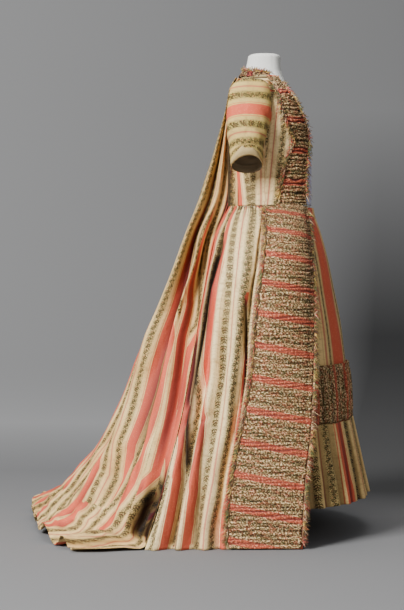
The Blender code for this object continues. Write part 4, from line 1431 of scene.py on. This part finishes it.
def buildSack():
    rings = np.array([sackLine(row) for row in sack["rows"]])
    rows, knots = rings.shape[:2]
    down = (rows - 1) * sack["downSteps"] + 1
    across = (knots - 1) * sack["acrossSteps"] + 1
    grid = np.einsum(
        "ab,bcd,ec->aed", splineWeights(rows, down), rings, splineWeights(knots, across)
    )
    at = np.linspace(0, rows - 1, down)
    place = np.linspace(0, knots - 1, across)
    fromSide = np.minimum(place, knots - 1 - place)
    depth = np.zeros(grid.shape[:2])
    for path, width, deep, risesTop, risesFoot in sack["creases"]:
        first, last = path[0][0], path[-1][0]
        length = ease((at - first) / risesTop) * ease((last - at) / risesFoot + sack["creaseFoot"])
        length *= (at >= first) & (at <= last)
        rightLine = pathAt(path, at)[:, None]
        for line, shift in ((rightLine, 0.0), (knots - 1 - rightLine, sack["leftShift"])):
            depth += deep * length[:, None] * crease(place[None, :] - line - shift, width)
    depth += sackLumps(grid, at, sack["lumps"], 41, sack["calm"]) * sack["lumpHeight"]
    least, sideFrom, sideRise = sack["rippleSide"]
    inward = least + (1 - least) * ease((fromSide - sideFrom) / sideRise)
    depth += sackLumps(grid, at, sack["ripples"], 43) * sack["rippleHeight"] * inward
    crumples = sackLumps(grid, at, sack["crumples"], 44)
    depth += crumples * sack["crumpleHeight"]
    depth *= ease(fromSide / sack["edgeRise"])
    grid += gridNormals(grid) * depth[..., None]
    grid[..., 2] = np.maximum(grid[..., 2], sack["foot"])
    middle = across // 2
    even = (np.ones(len(at)), np.ones(len(at)))
    panels = [(pathAt(end, at), pathAt(run, at), spot, even) for end, run, spot in sack["panels"]]
    halves = []
    for part in (grid[:, : middle + 1], grid[:, middle:][:, ::-1]):
        halves.append(panelled(part, panels, place[: middle + 1]))
    flipped = halves[1][:, ::-1][..., [1, 0, 3, 2]]
    u = np.concatenate([halves[0], flipped], axis=1)
    # painted shade at the bottom of the creases, in the crumples' hollows and in the listed places
    deep = np.clip(-depth / sack["shadeDepth"], 0, 1)
    shade, shadeFrom = sack["crumpleShade"]
    deep = np.maximum(deep, shade * ease(-crumples - shadeFrom))
    for path, width, much, risesTop, risesFoot in sack["shade"]:
        first, last = path[0][0], path[-1][0]
        length = ease((at - first) / risesTop) * ease((last - at) / risesFoot)
        near = bell(fromSide[None, :] - pathAt(path, at)[:, None], width)
        deep = np.maximum(deep, much * length[:, None] * near)
    piece = clothPiece(
        "sack_back", grid, u, lengthsDown(grid), [silk], "striped_silk", deep=deep
    )
    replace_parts(piece, "sack_back")


# the gathered trims
gathers = {
    "uneven": (0.65, 1.35),     # the least and the most that a gather takes of the pitch
    "spare": 3,
    "lean": 0.28,
    "leanCells": (9, 5),        # rows to one lump, and lumps across
    "swell": (0.75, 0.35),
    "swellCells": (7, 3),
    "valleyShadeRamp": (0.15, 1.15),
}


def gathered(rows, pitch, seed):
    # where each gather stands along a trim: uneven, and counted in gathers
    source = np.random.RandomState(seed)
    count = int(rows[-1] / pitch) + gathers["spare"]
    steps = source.uniform(*gathers["uneven"], count)
    at = np.concatenate([[0], np.cumsum(steps)]) * pitch
    return np.interp(rows, at, np.arange(count + 1))


def ruffled(down, across, pitch, height, seed):
    # waves over a trim (down x across), which lean and split a little from one edge to the other
    shape = (len(down), len(across))
    each, lumps = gathers["leanCells"]
    lean = roughness(shape, (len(down) // each, lumps), seed) * gathers["lean"]
    count = gathered(down, pitch, seed + 1)[:, None] + lean
    wave = np.cos(count * tau)
    each, lumps = gathers["swellCells"]
    least, more = gathers["swell"]
    swell = least + more * roughness(shape, (len(down) // each, lumps), seed + 2)
    return height * wave * swell


def valleyShade(wave, height, much):
    # painted shade at each point of a gathered trim, the darker the deeper it lies between its waves
    start, fall = gathers["valleyShadeRamp"]
    return much * ease((start - wave / height) / fall)


skirtTrim = {
    "top": 0.9525,
    "foot": 0.0040,
    "share": (0.0100, 0.4900),
    "rows": 430,
    "columns": 40,
    "stand": 0.0085,
    "pitch": 0.0105,
    "height": 0.0019,
    "edgeHeight": 0.0014,
    "edgeReach": 0.10,
    "edgeTurn": 0.0058,
    "seam": (0.0022, 0.085, 0.035),     # how deep it is sewn down, and where, in shares across
    "gather": 1.50,         # cloth along the trim for each metre of it
    "firstStripe": 0.046,
    "shade": 0.46,
    "slope": 0.21,          # the bands drop a little towards the front edge
    "edgeWave": 0.0020,
    "edgeWaveTurn": 0.0074,
    "lowest": 0.0016,
}


def trimBase(side, heights, shares):
    return np.array([skirtPoints(shares, z, side, fine=False) for z in heights])


def buildSkirtTrims():
    trim = skirtTrim
    shares = np.linspace(*trim["share"], trim["columns"])
    heights = np.linspace(trim["top"], trim["foot"], trim["rows"])
    for side, word in sides:
        base = trimBase(side, heights, shares)
        down = lengthsDown(base)[:, trim["columns"] // 2]
        across = lengthsAcross(base)
        width = across[:, -1:]
        place = across / width
        wave = ruffled(down, shares, trim["pitch"], trim["height"], 51 + side)
        deep = valleyShade(wave, trim["height"], trim["shade"])
        edge = np.minimum(place, 1 - place)
        frill = trim["edgeHeight"] * np.sin(down / trim["edgeTurn"])[:, None]
        wave = wave + bell(edge, trim["edgeReach"]) * frill
        seamDepth, seamAt, seamWidth = trim["seam"]
        wave -= seamDepth * bell(edge - seamAt, seamWidth)
        normal = gridNormals(base) * -side
        grid = base + normal * (trim["stand"] + wave)[..., None]
        outward = np.gradient(base, axis=1)
        outward /= np.linalg.norm(outward, axis=2, keepdims=True)
        pushed = trim["edgeWave"] * np.sin(down / trim["edgeWaveTurn"])[:, None] * (2 * place - 1) ** 3
        grid += outward * pushed[..., None]
        grid[..., 2] = np.maximum(grid[..., 2], trim["lowest"])
        u = (down[:, None] + place * trim["slope"] * width) * trim["gather"]
        u = u + trim["firstStripe"]
        name = "trim_skirt_" + word
        piece = clothPiece(
            name, grid, u, across, [ruched], "gathered_silk", outward=-side, deep=deep
        )
        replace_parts(piece, name)


bodiceTrim = {
    "widths": (
        (1.350, 0.032),
        (1.300, 0.044),
        (1.250, 0.066),
        (1.200, 0.073),
        (1.148, 0.058),
        (1.105, 0.066),
        (1.030, 0.073),
        (0.985, 0.084),
        (0.950, 0.100),
    ),
    "top": 1.344,
    "foot": 0.9605,
    "overhang": 0.012,
    "stand": 0.0144,
    "rows": 250,
    "columns": 30,
    "pitch": 0.0120,
    "height": 0.0020,
    "gather": 1.45,
    "firstStripe": 0.010,
    "seam": (0.0020, 0.12, 0.05),
    "shade": 0.72,
}


def bodiceTrimBase(side, heights, shares, stand):
    lines = []
    for z in heights:
        half, front, back = rowAt(torso["rows"], z)
        first = edgeAngle(z, stand) - bodiceTrim["overhang"]
        last = first + rowAt(bodiceTrim["widths"], z)[0] / (0.5 * (half + front))
        lines.append(torsoPoints(side * (first + (last - first) * shares), z, stand))
    return np.array(lines)


def buildBodiceTrims():
    trim = bodiceTrim
    heights = np.linspace(trim["top"], trim["foot"], trim["rows"])
    shares = np.linspace(0, 1, trim["columns"])
    stand = trim["stand"]
    for side, word in sides:
        base = bodiceTrimBase(side, heights, shares, stand)
        down = lengthsDown(base)[:, trim["columns"] // 2]
        across = lengthsAcross(base)
        place = across / across[:, -1:]
        wave = ruffled(down, shares, trim["pitch"], trim["height"], 61 + side)
        deep = valleyShade(wave, trim["height"], trim["shade"])
        seamDepth, seamAt, seamWidth = trim["seam"]
        wave -= seamDepth * bell(np.minimum(place, 1 - place) - seamAt, seamWidth)
        grid = base + gridNormals(base) * (-side * wave)[..., None]
        u = down[:, None] * trim["gather"] + trim["firstStripe"] + np.zeros_like(place)
        name = "trim_bodice_" + word
        piece = clothPiece(
            name, grid, u, across, [ruched], "gathered_silk", outward=-side, deep=deep
        )
        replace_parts(piece, name)


neckRuffle = {
    "rows": (
        (1.364, 0.0055),
        (1.356, 0.0100),
        (1.347, 0.0125),
    ),
    "tilt": 0.010,          # its ends stand this much lower
    "shade": 0.85,
    "reach": math.radians(102),
    "columns": 360,
    "levels": 14,
    "pitch": 0.0120,
    "height": 0.0022,
    "gather": 1.6,
    "sewn": (0.5, 0.2),         # how far it is flattened along its middle, and how widely
    "edgeWave": 0.0011,
    "edgeTurn": 0.0043,
    "leastShade": 0.25,
}


def neckDrop(angles):
    return neckRuffle["tilt"] * (np.abs(angles - math.pi) / neckRuffle["reach"]) ** 2


def buildNeckRuffle():
    ruff = neckRuffle
    angles = np.linspace(math.pi - ruff["reach"], math.pi + ruff["reach"], ruff["columns"])
    heights = np.linspace(ruff["rows"][0][0], ruff["rows"][-1][0], ruff["levels"])
    base = np.array([torsoPoints(angles, z, rowAt(ruff["rows"], z)[0]) for z in heights])
    run = lengthsAcross(base)[0]
    down = np.linspace(0, 1, ruff["levels"])
    wave = ruffled(run, down, ruff["pitch"], ruff["height"], 71).T
    flattened, spread = ruff["sewn"]
    free = 1 - flattened * bell(down - 0.5, spread)[:, None]
    grid = base + gridNormals(base) * (-wave * free)[..., None]
    frill = ruff["edgeWave"] * np.sin(run / ruff["edgeTurn"])[None, :]
    grid[..., 2] += frill * (1 - 2 * down)[:, None]
    grid[..., 2] -= neckDrop(angles)
    u = np.broadcast_to(run * ruff["gather"], grid.shape[:2])
    deep = ruff["leastShade"] + valleyShade(wave, ruff["height"], ruff["shade"])
    piece = clothPiece(
        "trim_neck", grid, u, lengthsDown(grid), [ruched], "gathered_silk", deep=deep
    )
    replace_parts(piece, "trim_neck")


# the petticoat, its heading and its flounce
petticoat = {
    "rows": (   # height, half width, reach to the front and to the back
        (0.954, 0.140, 0.1460, 0.098),
        (0.925, 0.172, 0.152, 0.106),
        (0.886, 0.220, 0.166, 0.118),
        (0.794, 0.296, 0.191, 0.132),
        (0.694, 0.340, 0.210, 0.144),
        (0.579, 0.370, 0.231, 0.158),
        (0.459, 0.392, 0.245, 0.176),
        (0.330, 0.406, 0.255, 0.200),
        (0.210, 0.416, 0.262, 0.222),
        (0.108, 0.424, 0.268, 0.240),
    ),
    "folds": 9,
    "foldDepth": 0.0035,
    "levels": 64,
    "columns": 260,
    "waistPleats": 46,
    "pleatHeight": 0.0016,
    "pleatFall": 0.16,
    "lumps": (8, 26),
    "lumpHeight": 0.0016,
    "lumpsGrow": 0.2,
    "joinCalm": 0.3,
    # degrees round from the front, and the pattern's place there
    "stripes": (
        (-180, -0.900), (-72, -0.190), (-54, -0.0945), (-46, -0.076), (-41, -0.069), (-37.5, -0.0435),
        (-32, -0.0165), (-16, 0.0165), (-8, 0.069), (180, 1.310),
    ),
}


def petticoatPoints(angles, z, stand=0.0):
    half, front, back = rowAt(petticoat["rows"], z)
    folds = np.cos(angles * petticoat["folds"] * 2) * petticoat["foldDepth"]
    drop = ease((petticoat["rows"][0][0] - z) / skirt["growth"])
    out = stand + folds * drop * ease(2 * np.cos(angles))
    s, c = np.sin(angles), np.cos(angles)
    reach = np.where(c > 0, front + out, back + out)
    return stacked((half + out) * s, -reach * c, z)


def stripesAt(table, angles, rows):
    # the pattern's place at each angle, the same all the way down
    places = pathAt(table, np.degrees(angles))
    return np.broadcast_to(places, (rows, len(angles)))


def buildPetticoat():
    angles = np.linspace(-math.pi, math.pi, petticoat["columns"], endpoint=False)
    heights = np.linspace(petticoat["rows"][0][0], petticoat["rows"][-1][0], petticoat["levels"])
    drop = (heights[0] - heights)[:, None]
    pleats = petticoat["pleatHeight"] * np.cos(angles * petticoat["waistPleats"])[None, :]
    pleats = pleats * bell(drop, petticoat["pleatFall"])
    soft = roughness((len(heights), len(angles)), petticoat["lumps"], 81) * petticoat["lumpHeight"]
    soft *= ease(drop / petticoat["lumpsGrow"])
    soft *= ease((math.pi - np.abs(angles)) / petticoat["joinCalm"])
    stand = pleats + soft
    grid = np.array([petticoatPoints(angles, z, s) for z, s in zip(heights, stand)])
    around = np.append(angles, math.pi)
    u = stripesAt(petticoat["stripes"], around, len(heights))
    v = ringed(lengthsDown(grid))
    piece = clothPiece(
        "petticoat", grid, u, v, [silk], "striped_silk", closed=True, outward=-1
    )
    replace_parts(piece, "petticoat")


heading = {
    "top": 0.497,
    "foot": 0.333,
    "stand": 0.0065,
    "puff": 0.004,
    "reach": math.radians(72),
    "columns": 420,
    "levels": 30,
    "pitch": 0.0150,
    "height": 0.0034,
    "pinch": 0.55,
    "pinches": ((0.10, 0.035), (0.93, 0.035)),      # where it is sewn down, and how widely
    "shade": 0.42,
    "stripes": ((-72, -0.270), (-54.5, -0.138), (-36.5, 0.0), (-22, 0.138), (72, 1.153)),
}


def buildHeading():
    angles = np.linspace(-heading["reach"], heading["reach"], heading["columns"])
    heights = np.linspace(heading["top"], heading["foot"], heading["levels"])
    down = np.linspace(0, 1, heading["levels"])
    middle = np.array([petticoatPoints(angles, z) for z in heights])
    run = lengthsAcross(middle)[heading["levels"] // 2]
    wave = ruffled(run, down, heading["pitch"], heading["height"], 91).T
    full = heading["puff"] * np.sin(math.pi * down)
    free = 1 - heading["pinch"] * sum(bell(down - at, width) for at, width in heading["pinches"])
    stand = heading["stand"] + full[:, None] + wave * free[:, None]
    grid = np.array([petticoatPoints(angles, z, s) for z, s in zip(heights, stand)])
    u = stripesAt(heading["stripes"], angles, heading["levels"])
    deep = valleyShade(wave, heading["height"], heading["shade"])
    piece = clothPiece(
        "petticoat_heading", grid, u, lengthsDown(grid), [ruched], "gathered_silk",
        outward=-1, deep=deep,
    )
    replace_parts(piece, "petticoat_heading")


flounce = {
    "top": 0.331,
    "foot": 0.104,
    "stand": 0.0065,
    "spread": 0.032,
    "pleats": 15,
    "pleat": 0.0085,
    "shape": (0.0, 1.0, 0.85, -0.15),       # one pleat's height at four points across it
    "drift": ((3, 15), 0.16),
    "lumps": ((6, 40), 0.0012),
    "front": (2.2, 0.3),
    "pleatGrows": 0.35,
    "sideShare": 0.55,
    "sideSpread": 0.25,
    "shadeFrom": 0.7,
    "reach": math.radians(72),
    "steps": 14,
    "levels": 44,
    "stripes": (
        (-72, -0.175), (-66, -0.1215), (-60, -0.0945), (-55, -0.069), (-50, -0.0435), (-40.5, -0.0165),
        (-32.0, 0.0165), (-27, 0.0435), (-20, 0.069), (-8, 0.0945), (6, 0.138), (72, 0.670),
    ),
    "shade": 0.50,
}


def buildFlounce():
    steps = flounce["pleats"] * flounce["steps"]
    angles = np.linspace(-flounce["reach"], flounce["reach"], steps + 1)
    heights = np.linspace(flounce["top"], flounce["foot"], flounce["levels"])
    turn = np.linspace(0, flounce["pleats"], steps + 1)
    size = (flounce["levels"], steps + 1)
    cells, reach = flounce["drift"]
    shift = roughness(size, cells, 95) * reach
    cells, reach = flounce["lumps"]
    soft = roughness(size, cells, 96) * reach
    points = np.array([*flounce["shape"], flounce["shape"][0]])
    sharp, start = flounce["front"]
    front = ease(sharp * np.cos(angles) - start)
    grows, sideShare, sideSpread = flounce["pleatGrows"], flounce["sideShare"], flounce["sideSpread"]
    lines, deep = [], []
    for n, z in enumerate(heights):
        drop = n / (flounce["levels"] - 1)
        across = ((turn + shift[n] * drop) % 1.0) * 4
        low = across.astype(int) % 4
        t = across - low
        shape = points[low] + (points[low + 1] - points[low]) * (t * t * (3 - 2 * t))
        pleat = flounce["pleat"] * shape * (grows + (1 - grows) * drop)
        pleat = pleat * (sideShare + (1 - sideShare) * front)
        spread = flounce["spread"] * drop * (sideSpread + (1 - sideSpread) * front)
        out = flounce["stand"] + spread + pleat
        lines.append(petticoatPoints(angles, z, out + soft[n] * drop))
        # painted shade in the pleats' hollows, more of it towards the hem
        pleatShade = 1 - ease(shape / flounce["shadeFrom"])
        deep.append(flounce["shade"] * pleatShade * (0.5 + 0.5 * drop))
    grid = np.array(lines)
    u = stripesAt(flounce["stripes"], angles, flounce["levels"])
    piece = clothPiece(
        "petticoat_flounce", grid, u, lengthsDown(grid), [silk], "striped_silk",
        outward=-1, deep=np.array(deep),
    )
    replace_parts(piece, "petticoat_flounce")


# the narrow strip of cloth folded in between the bodice and the sack's edge, darkened with painted shade
# towards the sack's edge
sackJoin = {
    "top": 1.212,
    "foot": 0.950,
    "across": 0.0872,
    "from": 0.078,
    "to": 0.108,
    "rows": 40,
    "columns": 12,
    "lumps": (8, 3),
    "wave": 0.0012,
    "shade": 0.85,
    "shadeFrom": 0.090,
    "shadeRise": 0.014,
}


def buildSackJoins():
    heights = np.linspace(sackJoin["top"], sackJoin["foot"], sackJoin["rows"])
    places = np.linspace(sackJoin["from"], sackJoin["to"], sackJoin["columns"])
    for side, word in sides:
        wave = roughness((len(heights), len(places)), sackJoin["lumps"], 47) * sackJoin["wave"]
        rows = [stacked(side * (sackJoin["across"] + w), places, z) for w, z in zip(wave, heights)]
        grid = np.array(rows)
        # painted shade, deepest at the sack's edge
        dark = ease((places - sackJoin["shadeFrom"]) / sackJoin["shadeRise"])
        deep = np.broadcast_to(sackJoin["shade"] * dark, grid.shape[:2])
        u = np.broadcast_to(places, grid.shape[:2])
        name = "sack_join_" + word
        piece = clothPiece(
            name, grid, u, lengthsDown(grid), [silk], "striped_silk", outward=side, deep=deep
        )


# fly fringe: a narrow braid with tufts of floss
fringe = {
    "braid": (0.0030, 0.0009),      # its width and half thickness
    "braidPitch": 0.0045,
    "braidRings": 8,                # the fewest
    "beads": (0.8, 1.25),           # the braid's thickness goes down and up by turns
    "braidColour": 0.06,
    "step": 0.0072,                 # one tuft to the next
    "uneven": 0.2,
    "strands": 9,
    "length": (0.0120, 0.0225),
    "spread": 1.25,
    "stray": 0.25,
    "lift": (-0.5, 0.7),
    "drift": 0.12,                  # how far a strand's colour strays from its tuft's
    "root": 0.5,
    "thick": 0.00125,
    "taper": 0.55,
    "segments": 2,
    "corners": 3,
    "fall": 0.30,
    "lowest": 0.0008,
}


class Tufts:
    # tubes gathered into one mesh; the uv's u is a strand's own colour number
    def __init__(self):
        self.points = []
        self.faces = []
        self.uvs = []

    def tube(self, rings, colour, lengths):
        corners = len(rings[0])
        first = len(self.points)
        for ring in rings:
            self.points.extend(ring)
        for r in range(len(rings) - 1):
            low = first + r * corners
            high = low + corners
            for c in range(corners):
                d = (c + 1) % corners
                self.faces.append((low + c, low + d, high + d, high + c))
                self.uvs.append([(colour, lengths[r])] * 2 + [(colour, lengths[r + 1])] * 2)
        start = range(first, first + corners)
        end = range(len(self.points) - corners, len(self.points))
        for face, length in ((start[::-1], lengths[0]), (end, lengths[-1])):
            self.faces.append(tuple(face))
            self.uvs.append([(colour, length)] * corners)

    def mesh(self, name):
        mesh = bpy.data.meshes.new(name)
        lifted = [(p[0], p[1], max(p[2], fringe["lowest"])) for p in self.points]
        mesh.from_pydata(lifted, [], self.faces)
        cloth = mesh.uv_layers.new(name="cloth")
        flat = [corner for face in self.uvs for corner in face]
        cloth.data.foreach_set("uv", np.array(flat, np.float32).reshape(-1))
        mesh.shade_smooth()
        return mesh


def strandRings(root, heads, up, length):
    # one strand, bending down and growing thinner towards its end
    around = np.cross(heads, up)
    around /= np.linalg.norm(around)
    over = np.cross(heads, around)
    turns = [corner * tau / fringe["corners"] for corner in range(fringe["corners"])]
    rings, lengths = [], []
    for k in range(fringe["segments"] + 1):
        t = k / fringe["segments"]
        spot = root + heads * length * t
        spot = spot - np.array([0, 0, 1]) * fringe["fall"] * length * t * t
        radius = fringe["thick"] * (1.0 - fringe["taper"] * t)
        ring = [spot + around * (radius * math.cos(a)) + over * (radius * math.sin(a)) for a in turns]
        rings.append(ring)
        lengths.append(length * t)
    return rings, lengths


def fringeMesh(name, path, outward, normal, seed):
    # a braid along a path, and its tufts
    source = np.random.RandomState(seed)
    run = np.concatenate([[0], np.cumsum(np.linalg.norm(np.diff(path, axis=0), axis=1))])
    along = np.gradient(path, axis=0)
    along /= np.linalg.norm(along, axis=1, keepdims=True)
    tufts = Tufts()

    def at(s, *lines):
        # these lines' values at a length along the path
        return [np.array([np.interp(s, run, line[:, k]) for k in range(3)]) for line in lines]

    wide, thin = fringe["braid"]
    spots = np.linspace(0, run[-1], max(fringe["braidRings"], int(run[-1] / fringe["braidPitch"])))
    rings = []
    for n, s in enumerate(spots):
        spot, out, up = at(s, path, outward, normal)
        bump = thin * fringe["beads"][n % 2]
        rings.append([spot + up * bump, spot + out * wide, spot - up * bump])
    tufts.tube(rings, fringe["braidColour"], list(spots))
    count = int(run[-1] / fringe["step"])
    for n in range(count):
        s = (n + 0.5 + source.uniform(-fringe["uneven"], fringe["uneven"])) * run[-1] / count
        spot, out, up, go = at(s, path, outward, normal, along)
        root = spot + out * wide * fringe["root"]
        tuftColour = source.uniform(0, 1)
        for strand in range(fringe["strands"]):
            fan = (strand / (fringe["strands"] - 1) - 0.5) * 2 * fringe["spread"]
            fan += source.uniform(-fringe["stray"], fringe["stray"])
            heads = out * math.cos(fan) + go * math.sin(fan) + up * source.uniform(*fringe["lift"])
            heads /= np.linalg.norm(heads)
            length = source.uniform(*fringe["length"])
            colour = (tuftColour + source.uniform(-fringe["drift"], fringe["drift"])) % 1.0
            rings, lengths = strandRings(root, heads, up, length)
            tufts.tube(rings, colour, lengths)
    return tufts.mesh(name)


def edgeFrames(base, column, step, side):
    # a path along one edge of a grid, with its outward and upward directions
    path = base[:, column]
    inner = base[:, column + step]
    outward = path - inner
    outward /= np.linalg.norm(outward, axis=1, keepdims=True)
    normal = (gridNormals(base) * -side)[:, column]
    return path, outward, normal


fringeRuns = {
    "skirt": (0.942, 0.018, 150),       # the heights at both ends, and the rows between them
    "skirtOut": 0.0012,
    "bodice": (1.325, 0.985, 90),
    "across": (12, 10),                 # points across the skirt's and the bodice's trim
    "neck": (1.362, 1.348),
    "neckPoints": 60,
    "edges": ((0, 1, "front"), (-1, -1, "back")),
}


def buildSkirtFringes():
    heights = np.linspace(*fringeRuns["skirt"])
    shares = np.linspace(*skirtTrim["share"], fringeRuns["across"][0])
    for side, word in sides:
        base = trimBase(side, heights, shares)
        base = base + gridNormals(base) * -side * skirtTrim["stand"]
        for column, step, place in fringeRuns["edges"]:
            path, outward, normal = edgeFrames(base, column, step, side)
            path = path + outward * fringeRuns["skirtOut"]
            name = "fringe_skirt_" + word + "_" + place
            mesh = fringeMesh(name, path, outward, normal, 101 + column * 2 + side)
            piece = newPiece(name, mesh, [floss])
            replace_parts(piece, name)


def buildBodiceFringes():
    heights = np.linspace(*fringeRuns["bodice"])
    shares = np.linspace(0, 1, fringeRuns["across"][1])
    stand = bodiceTrim["stand"]
    for side, word in sides:
        base = bodiceTrimBase(side, heights, shares, stand)
        for column, step, place in fringeRuns["edges"]:
            path, outward, normal = edgeFrames(base, column, step, side)
            name = "fringe_bodice_" + word + "_" + place
            mesh = fringeMesh(name, path, outward, normal, 121 + column * 2 + side)
            newPiece(name, mesh, [floss])
    reach, count = neckRuffle["reach"], fringeRuns["neckPoints"]
    angles = np.linspace(math.pi - reach, math.pi + reach, count)
    stands = [(z, rowAt(neckRuffle["rows"], z)[0]) for z in fringeRuns["neck"]]
    base = np.array([torsoPoints(angles, z, stand) for z, stand in stands])
    base[..., 2] -= neckDrop(angles)
    up = np.tile([0.0, 0.0, 1.0], (count, 1))
    normal = gridNormals(base)[0] * -1
    mesh = fringeMesh("fringe_neck", base[0], up, normal, 141)
    newPiece("fringe_neck", mesh, [floss])


# the studio
studio = {
    "reaches": (0.5, 8.0, 14.0),    # the first ring, the flat floor's edge and the wall
    "flatShare": 0.3,
    "wallHeight": 5.5,
    "rings": 40,
    "sides": 96,
    "floor": (0.192, 0.192, 0.194, 1),
    "wallGlow": (0.240, 0.240, 0.241, 1),
    "dusk": (0.050, 0.050, 0.050, 1),
    # a level in metres and a slope for each: the painted light (glow) grows behind and to the left, and
    # the painted shadow (dusk) behind, past its side edge and below its top
    "glowBehind": (1.4, 0.5),
    "glowLeft": (-7.2, 0.10),
    "duskBehind": (0.1875, 1.6),
    "duskPast": (0.15, 1.0),
    "duskTop": (2.298, 0.47),
    "duskEdge": (0.25, 0.085),      # how far to the side it is, and how it widens behind
    "duskDepth": 0.94,
    "rough": 0.85,
    "cameraAt": (-5.5, 0.0, 0.8),
    "aim": (0.0, 0.187, 0.663),
    "lens": 107.8,
    # place, power and size
    "lights": {
        "key": ((-4.4, 3.2, 3.6), 710, 1.8),
        "fill": ((-4.5, -3.2, 2.2), 38, 2.5),
        "top": ((0.4, 0.3, 4.2), 60, 2.5),
    },
    "lightAim": (0.0, 0.15, 0.75),
    "world": (0.50, 0.505, 0.52, 1),
    "worldStrength": 0.50,
}


def sweepPaint(wire):
    # pale floor and backdrop with painted light: the backdrop glows as if lit from the left, and a painted
    # shadow dims it and the floor behind, low down on the right
    parts = wire.add("SeparateXYZ", None, {0: wire.add("NewGeometry")})
    x, y, z = (Wire(wire.tree, parts.socket.node.outputs[n]) for n in range(3))
    away, widens = studio["duskEdge"]
    past = below(y / (x * widens + away), *studio["duskPast"])
    dusk = past * below(z, *studio["duskTop"])
    tint = mixed(wire, above(x, *studio["duskBehind"]) * dusk, studio["floor"], studio["dusk"])
    lit = above(y, *studio["glowLeft"]) * above(x, *studio["glowBehind"])
    bright = lit * (1 - dusk * studio["duskDepth"])
    glow = mixed(wire, bright, (0, 0, 0, 1), studio["wallGlow"])
    return {"Base Color": tint, "Emission Color": glow}


def buildStudio():
    near, flat, wall = studio["reaches"]
    flatShare = studio["flatShare"]
    rings = []
    for n in range(studio["rings"]):
        t = n / (studio["rings"] - 1)
        bend = max(0.0, (t - flatShare) / (1 - flatShare)) * math.pi / 2
        reach = near + (flat - near) * min(t / flatShare, 1.0) + (wall - flat) * math.sin(bend)
        height = studio["wallHeight"] * (1 - math.cos(bend))
        angles = np.arange(studio["sides"]) * tau / studio["sides"]
        rings.append(stacked(reach * np.cos(angles), reach * np.sin(angles), height))
    grid = np.array([np.zeros_like(rings[0]), *rings])
    zero = np.zeros((len(grid), studio["sides"] + 1))
    mesh = gridMesh("studio_sweep", grid, zero, zero, closed=True)
    floor = finished("floor_painted_light_and_shadow", sweepPaint, Roughness=studio["rough"], Emission_Strength=1.0)
    mesh.materials.append(floor)
    sweep = bpy.data.objects.new("studio_sweep", mesh)
    bpy.context.scene.collection.objects.link(sweep)


def placed(made, at, aim):
    # puts a light or a camera in the scene, turned towards a point
    made.location = at
    made.rotation_euler = (Vector(aim) - Vector(at)).to_track_quat("-Z", "Y").to_euler()
    bpy.context.scene.collection.objects.link(made)
    return made


def lightAndLook():
    for name, (at, power, size) in studio["lights"].items():
        light = bpy.data.lights.new(name + "_light", "AREA")
        light.energy = power
        light.size = size
        placed(bpy.data.objects.new(name + "_light", light), at, studio["lightAim"])
    world = bpy.data.worlds.new("grey_room")
    world.use_nodes = True
    background = world.node_tree.nodes["Background"]
    background.inputs["Color"].default_value = studio["world"]
    background.inputs["Strength"].default_value = studio["worldStrength"]
    bpy.context.scene.world = world
    camera = bpy.data.cameras.new("camera")
    camera.lens = studio["lens"]
    made = placed(bpy.data.objects.new("camera", camera), studio["cameraAt"], studio["aim"])
    bpy.context.scene.camera = made


buildForm()
buildStomacher()
buildBodice()
buildSleeves()
print("form and bodice made")
buildSkirtSides()
buildSack()
buildSackJoins()
print("robe's skirt and sack made")
buildPetticoat()
buildHeading()
buildFlounce()
print("petticoat made")
buildSkirtTrims()
buildBodiceTrims()
buildNeckRuffle()
print("trims made")
buildSkirtFringes()
buildBodiceFringes()
print("fringes made")
buildStudio()
lightAndLook()
print("studio made")
